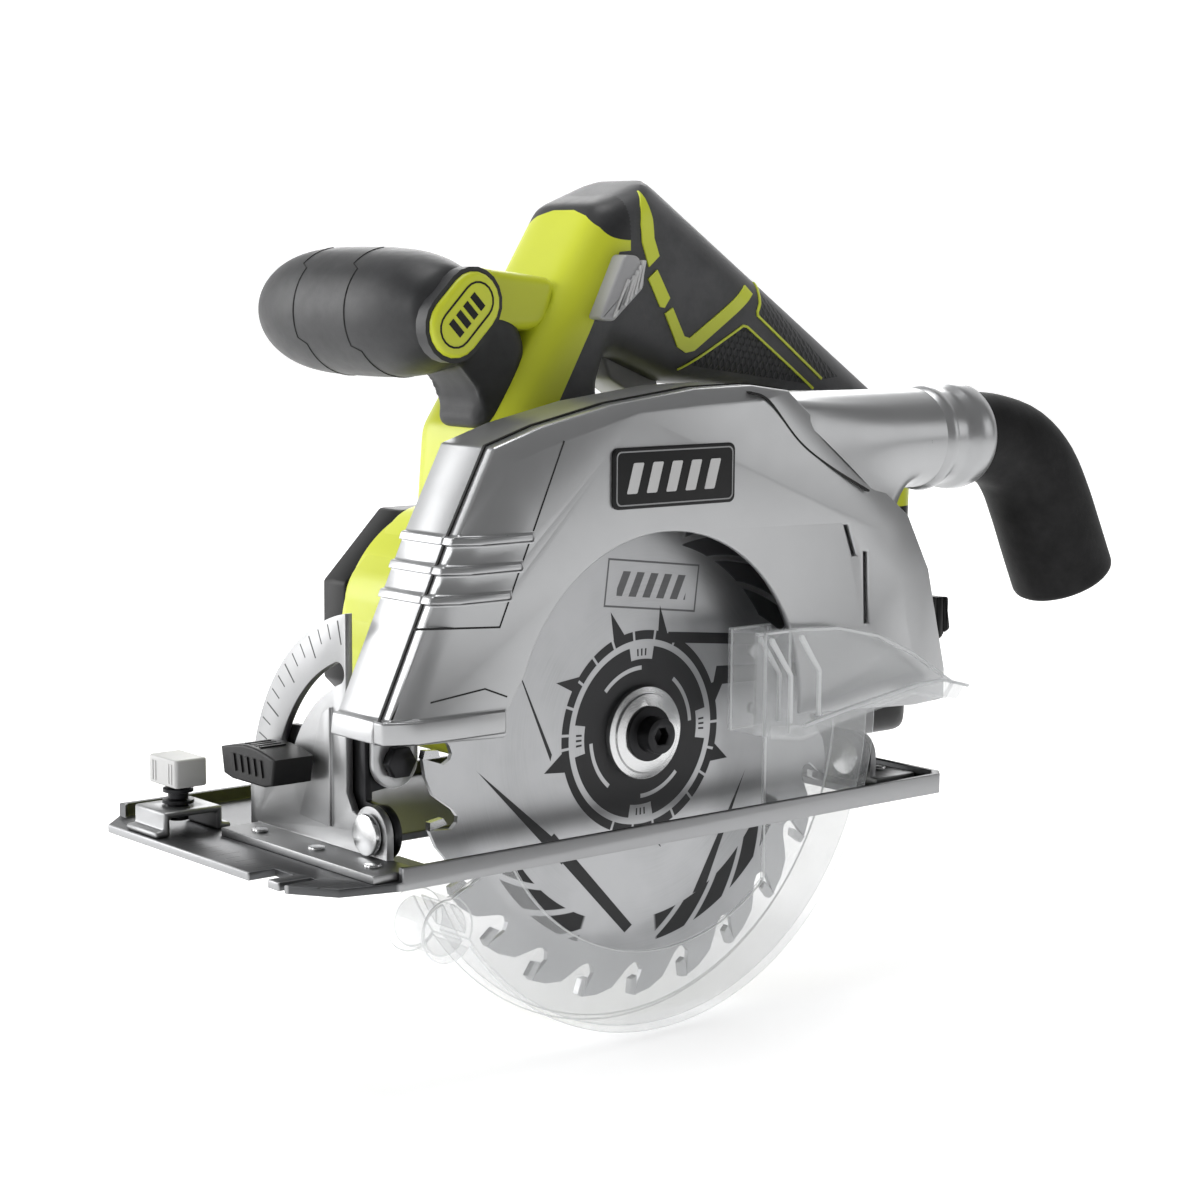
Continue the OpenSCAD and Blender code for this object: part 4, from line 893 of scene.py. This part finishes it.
leverShape = {
    "wall": [(27, -1), (27, 31), (44, 31), (62, 30), (80, 26), (96, 19), (116.5, 7), (112, 1.5), (92, 6),
             (60, 1), (41, -3)],
    "lip": [(27, -1), (41, -3), (60, 1), (92, 6), (112, 1.5), (116.5, 7), (104, 10), (92, 9.5), (60, 5),
            (42, 1.5), (27, 3)],
    "floor": [(41, -2.4), (60, 1.6), (92, 6.6), (111.5, 2.4), (115.8, 7)],
    "wallTop": [(27.5, 30.6), (44, 30.6), (62, 29.6), (80, 25.6), (96, 18.6), (116, 6.9)],
    "lipTop": [(42, 1.9), (60, 5), (92, 9.6), (104, 10), (116, 7)],
    "gusset": [(28, 29.5), (29, 29.5), (37.4, 17.5), (37.4, 2.5), (36.4, 2.5), (36.4, 17.2), (28, 28.2)],
    "outerGusset": [(40.5, 29.5), (41.6, 29.5), (49.6, 18), (49.6, 3.6), (48.4, 3.6), (48.4, 17.6),
                    (40.5, 28.2)],
    "out": -30, "tray": -22, "in": -12.2,
}
out, tray, inner = leverShape["out"], leverShape["tray"], leverShape["in"]
leverPlates = joined(slab(leverShape["wall"], tray - 1.4, tray), slab(leverShape["lip"], out, out + 1.4),
                     stripe(leverShape["floor"], 1.2, out + 1.5, tray - 1.5),
                     boxOf((27, 28.3), (out + 3, inner), (-1, 31)), boxOf((36.7, 38), (out + 3, inner), (-1, 31)))
gussets = [slab(leverShape["gusset"], y, y + 1) for y in (-28.6, -23.5)]
gussets.append(slab(leverShape["outerGusset"], -28.6, -27.6))
# the rims and gussets wear the more opaque edge copy of the clear plastic: painted highlight on the lever's edges
leverRims = joined(stripe(leverShape["wallTop"], 0.8, tray - 1.6, tray),
                   stripe(leverShape["lipTop"], 0.9, out, out + 1.6),
                   *[boxOf((x, x + 0.6), (out + 3, out + 3.6), (-1, 31)) for x in (27, 37.4)],
                   *[boxOf((27, 38), (y, y + 0.6), (30.5, 31.1)) for y in (out + 3, inner - 0.8)], *gussets)
addPiece("guard_lever_plates", leverPlates, "lower_guard", clearFinish, ["guard_lever"])
addPiece("guard_lever_rims", leverRims, "lower_guard", clearEdgeHighlight)

# Small pieces at the front of the sole: the bevel lever with its arched top, the fence knob and its stem

bevelHandle = {"x": (-114.4, -100.6), "y": (27.2, 56.2), "z": (-8.4, 0.4), "arch": 2.2, "boss": (47.2, -2.9)}
(lowY, highY), (lowZ, highZ) = bevelHandle["y"], bevelHandle["z"]
archLine = [(lowY + (highY - lowY) * k / 12, highZ + bevelHandle["arch"] * math.sin(math.pi * k / 12))
            for k in range(13)]
baseLine = [(highY - 1.5, lowZ + 1), (highY - 6, lowZ), (lowY + 6, lowZ), (lowY + 1.5, lowZ + 1)]


def acrossX(points, near, far, *args, **settings):  # a slab whose outline is (y, z) and which runs along x
    mesh = slab([(-y, z) for y, z in points], near, far, *args, **settings)
    spun(mesh, -math.pi / 2, "Z")
    return mesh


leverBlock = acrossX(archLine + baseLine, *bevelHandle["x"], 0, rounding=0.8)
leverBoss = turned([(0, -106), (5.5, -106), (5.5, -98.4), (3.3, -98.4), (3.3, -105), (0, -105)], 48)
spun(leverBoss, math.pi / 2, "Z")
moved(leverBoss, (0, *bevelHandle["boss"]))
leverRibs = [acrossX([(y, -5.6), (y + 1.3, -5.6), (y + 2.3, -0.6), (y + 1, -0.6)], bevelHandle["x"][0] - 0.45,
                     bevelHandle["x"][0] + 1) for y in (33, 36.6, 40.2, 43.8, 47.4)]
topRibs = [boxOf((-112.5, -104), (y, y + 1.1), (0.6, 2.75)) for y in (37, 39.6, 42.2, 44.8)]
leverWhole = joined(leverBlock, leverBoss, *leverRibs, *topRibs)
addPiece("bevel_lever_block", leverWhole, "bevel_lever", blackPlastic, ["bevel_lock_lever"])

knobShape = {"x": -116, "y": 78, "foot": -23.2, "top": -5.5, "grooves": (-5.8, -4.2, 3.4, 5), "grooveOut": 5.72}
post = [(0, -1.8), (3, -1.8), (3, 3), (4.8, 3.4), (4.8, 4.4), (3.1, 4.8), (3.1, 6.4), (4.6, 6.8), (4.6, 7.8),
        (3.4, 8.2), (3.4, 9.2), (0, 9.2)]
stem = turned([(r, -z) for r, z in post], 40)
spun(stem, math.pi / 2, "X")
spun(stem, math.pi, "X")
moved(stem, (knobShape["x"], knobShape["y"], knobShape["foot"]))
knobTop = slab([(-5.5, -8), (5.5, -8), (5.5, 8), (-5.5, 8)], 0, 8.6, 1.2, rounding=0.7)
spun(knobTop, -math.pi / 2, "X")
moved(knobTop, (knobShape["x"], knobShape["y"], knobShape["top"]))
grooveEnds = (knobShape["x"] - knobShape["grooveOut"], knobShape["x"] + knobShape["grooveOut"])
knobGrooves = [boxOf(grooveEnds, (knobShape["y"] + y, knobShape["y"] + y + 0.7), (-13, -7))
               for y in knobShape["grooves"]]
addPiece("fence_knob_top", joined(knobTop, *knobGrooves), "fence_knob", whitePlastic, ["fence_knob"])
addPiece("fence_knob_stem", stem, "fence_knob", blackSteel)
print("sole's small pieces made")

# Everything else keeps the frame's own shape, with its edges eased

easedEdges = {
    "motor_end_cap": 1.0, "gearcase": 0.6, "front_tilt_bracket": 0.3, "depth_arm": 0.3, "base_plate": 0.35,
    "bevel_quadrant": 0.3, "rear_bevel_ear": 0.3, "fence_bracket": 0.9, "depth_lock_lever": 0.7,
    "trigger": 1.2, "outer_flange": 0.3, "blade_bolt": 0.3, "terminal_block": 0.3,
    "spindle_lock_button": 0.5, "bevel_pins": 0.5, "base_rivets": 0.4, "lower_guard": 0.45,
    "depth_pivot_bolt": 0.3, "bevel_lock_bolt": 0.3, "depth_lock_bolt": 0.3,
}
ownFinish = {"lower_guard": clearFinish, "base_plate": soleSteel, "bevel_quadrant": quadrantSteel,
             "dust_elbow": elbowRubber, "saw_blade": bladeFinish}
for node, edge in easedEdges.items():
    softened(node, ownFinish.get(node), edge)
for node, shape in frame["nodes"].items():
    if not shape.hide_render:
        shape.data.materials.clear()
        shape.data.materials.append(ownFinish.get(node, slotFinish[slotOf[node]]))
print("frame's own pieces finished")

# Studio

cadLow, cadHigh = (Vector(corner) for corner in cadBox)
studio = {"floorHalf": 3.5, "wallAt": 2.6, "wallHigh": 3.4, "sweep": 1.1}
floor = bmesh.new()
near = [floor.verts.new((x, -studio["floorHalf"], 0)) for x in (-studio["floorHalf"], studio["floorHalf"])]
edge = [floor.edges.new(near)]
for step in ((0, studio["floorHalf"] + studio["wallAt"], 0), (0, 0, studio["wallHigh"])):
    grown = bmesh.ops.extrude_edge_only(floor, edges=edge)["geom"]
    bmesh.ops.translate(floor, verts=[g for g in grown if isinstance(g, bmesh.types.BMVert)], vec=step)
    edge = [g for g in grown if isinstance(g, bmesh.types.BMEdge)]
fold = [e for e in floor.edges if len(e.link_faces) == 2]
bmesh.ops.bevel(floor, geom=fold, offset=studio["sweep"], segments=16, profile=0.5, affect="EDGES", material=-1)
bmesh.ops.recalc_face_normals(floor, faces=floor.faces[:])
spun(floor, math.radians(-40), "Z")
moved(floor, (0, 0, cadLow.z - 0.0005))
floorData = bpy.data.meshes.new("studio_floor")
floor.to_mesh(floorData)
floor.free()
floorData.shade_smooth()
paper = Finish("paleStudioPaper", **{"Roughness": 0.9, "Emission Strength": 0.6})
paperTone = paper.mix(paper.noise(900, 2), (0.88, 0.88, 0.88, 1), (0.9, 0.9, 0.9, 1))
floorData.materials.append(paper.done(Base_Color=paperTone, Emission_Color=paperTone))
floorObject = bpy.data.objects.new("studio_floor", floorData)
scene.collection.objects.link(floorObject)

lamps = {  # place, size, watts
    "leftKey": ((-1.05, 1.3, 0.55), 1.1, 19),
    "leftLow": ((-1.7, 0.0, 0.6), 0.6, 7),
    "topBox": ((-0.05, 0.15, 1.5), 0.8, 10),
    "frontFill": ((1.5, -1.2, 0.5), 0.7, 2.2),
    "backRim": ((1.0, 1.1, 0.8), 0.9, 8),
}
for name, (place, size, watts) in lamps.items():
    light = bpy.data.lights.new(name, "AREA")
    light.size, light.energy = size, watts
    lamp = bpy.data.objects.new(name, light)
    lamp.location = place
    lamp.rotation_euler = (Vector((0, 0, 0.08)) - Vector(place)).to_track_quat("-Z", "Y").to_euler()
    scene.collection.objects.link(lamp)
world = bpy.data.worlds.new("studioAir")
world.use_nodes = True
world.node_tree.nodes["Background"].inputs["Color"].default_value = (1, 1, 1, 1)
world.node_tree.nodes["Background"].inputs["Strength"].default_value = 0.16
scene.world = world
scene.view_settings.view_transform = "Standard"

# Camera: three quarters from the front on the blade's side

view = {"place": (-0.5024, -0.6288, 0.1729), "azimuth": -40.02, "elevation": 7.48, "roll": 0.41, "lens": 77.2}
turnBy, lift, roll = (math.radians(view[key]) for key in ("azimuth", "elevation", "roll"))
right = Vector((math.cos(turnBy), math.sin(turnBy), 0))
up = Vector((-math.sin(turnBy) * math.sin(lift), math.cos(turnBy) * math.sin(lift), math.cos(lift)))
back = Vector((math.sin(turnBy) * math.cos(lift), -math.cos(turnBy) * math.cos(lift), math.sin(lift)))
rolledRight = math.cos(roll) * right + math.sin(roll) * up
rolledUp = -math.sin(roll) * right + math.cos(roll) * up
lens = bpy.data.cameras.new("sawCamera")
lens.lens, lens.sensor_width = view["lens"], 36
camera = bpy.data.objects.new("sawCamera", lens)
camera.matrix_world = Matrix.Translation(view["place"]) @ Matrix((rolledRight, rolledUp, back)).transposed().to_4x4()
scene.collection.objects.link(camera)
scene.camera = camera
print("studio made")
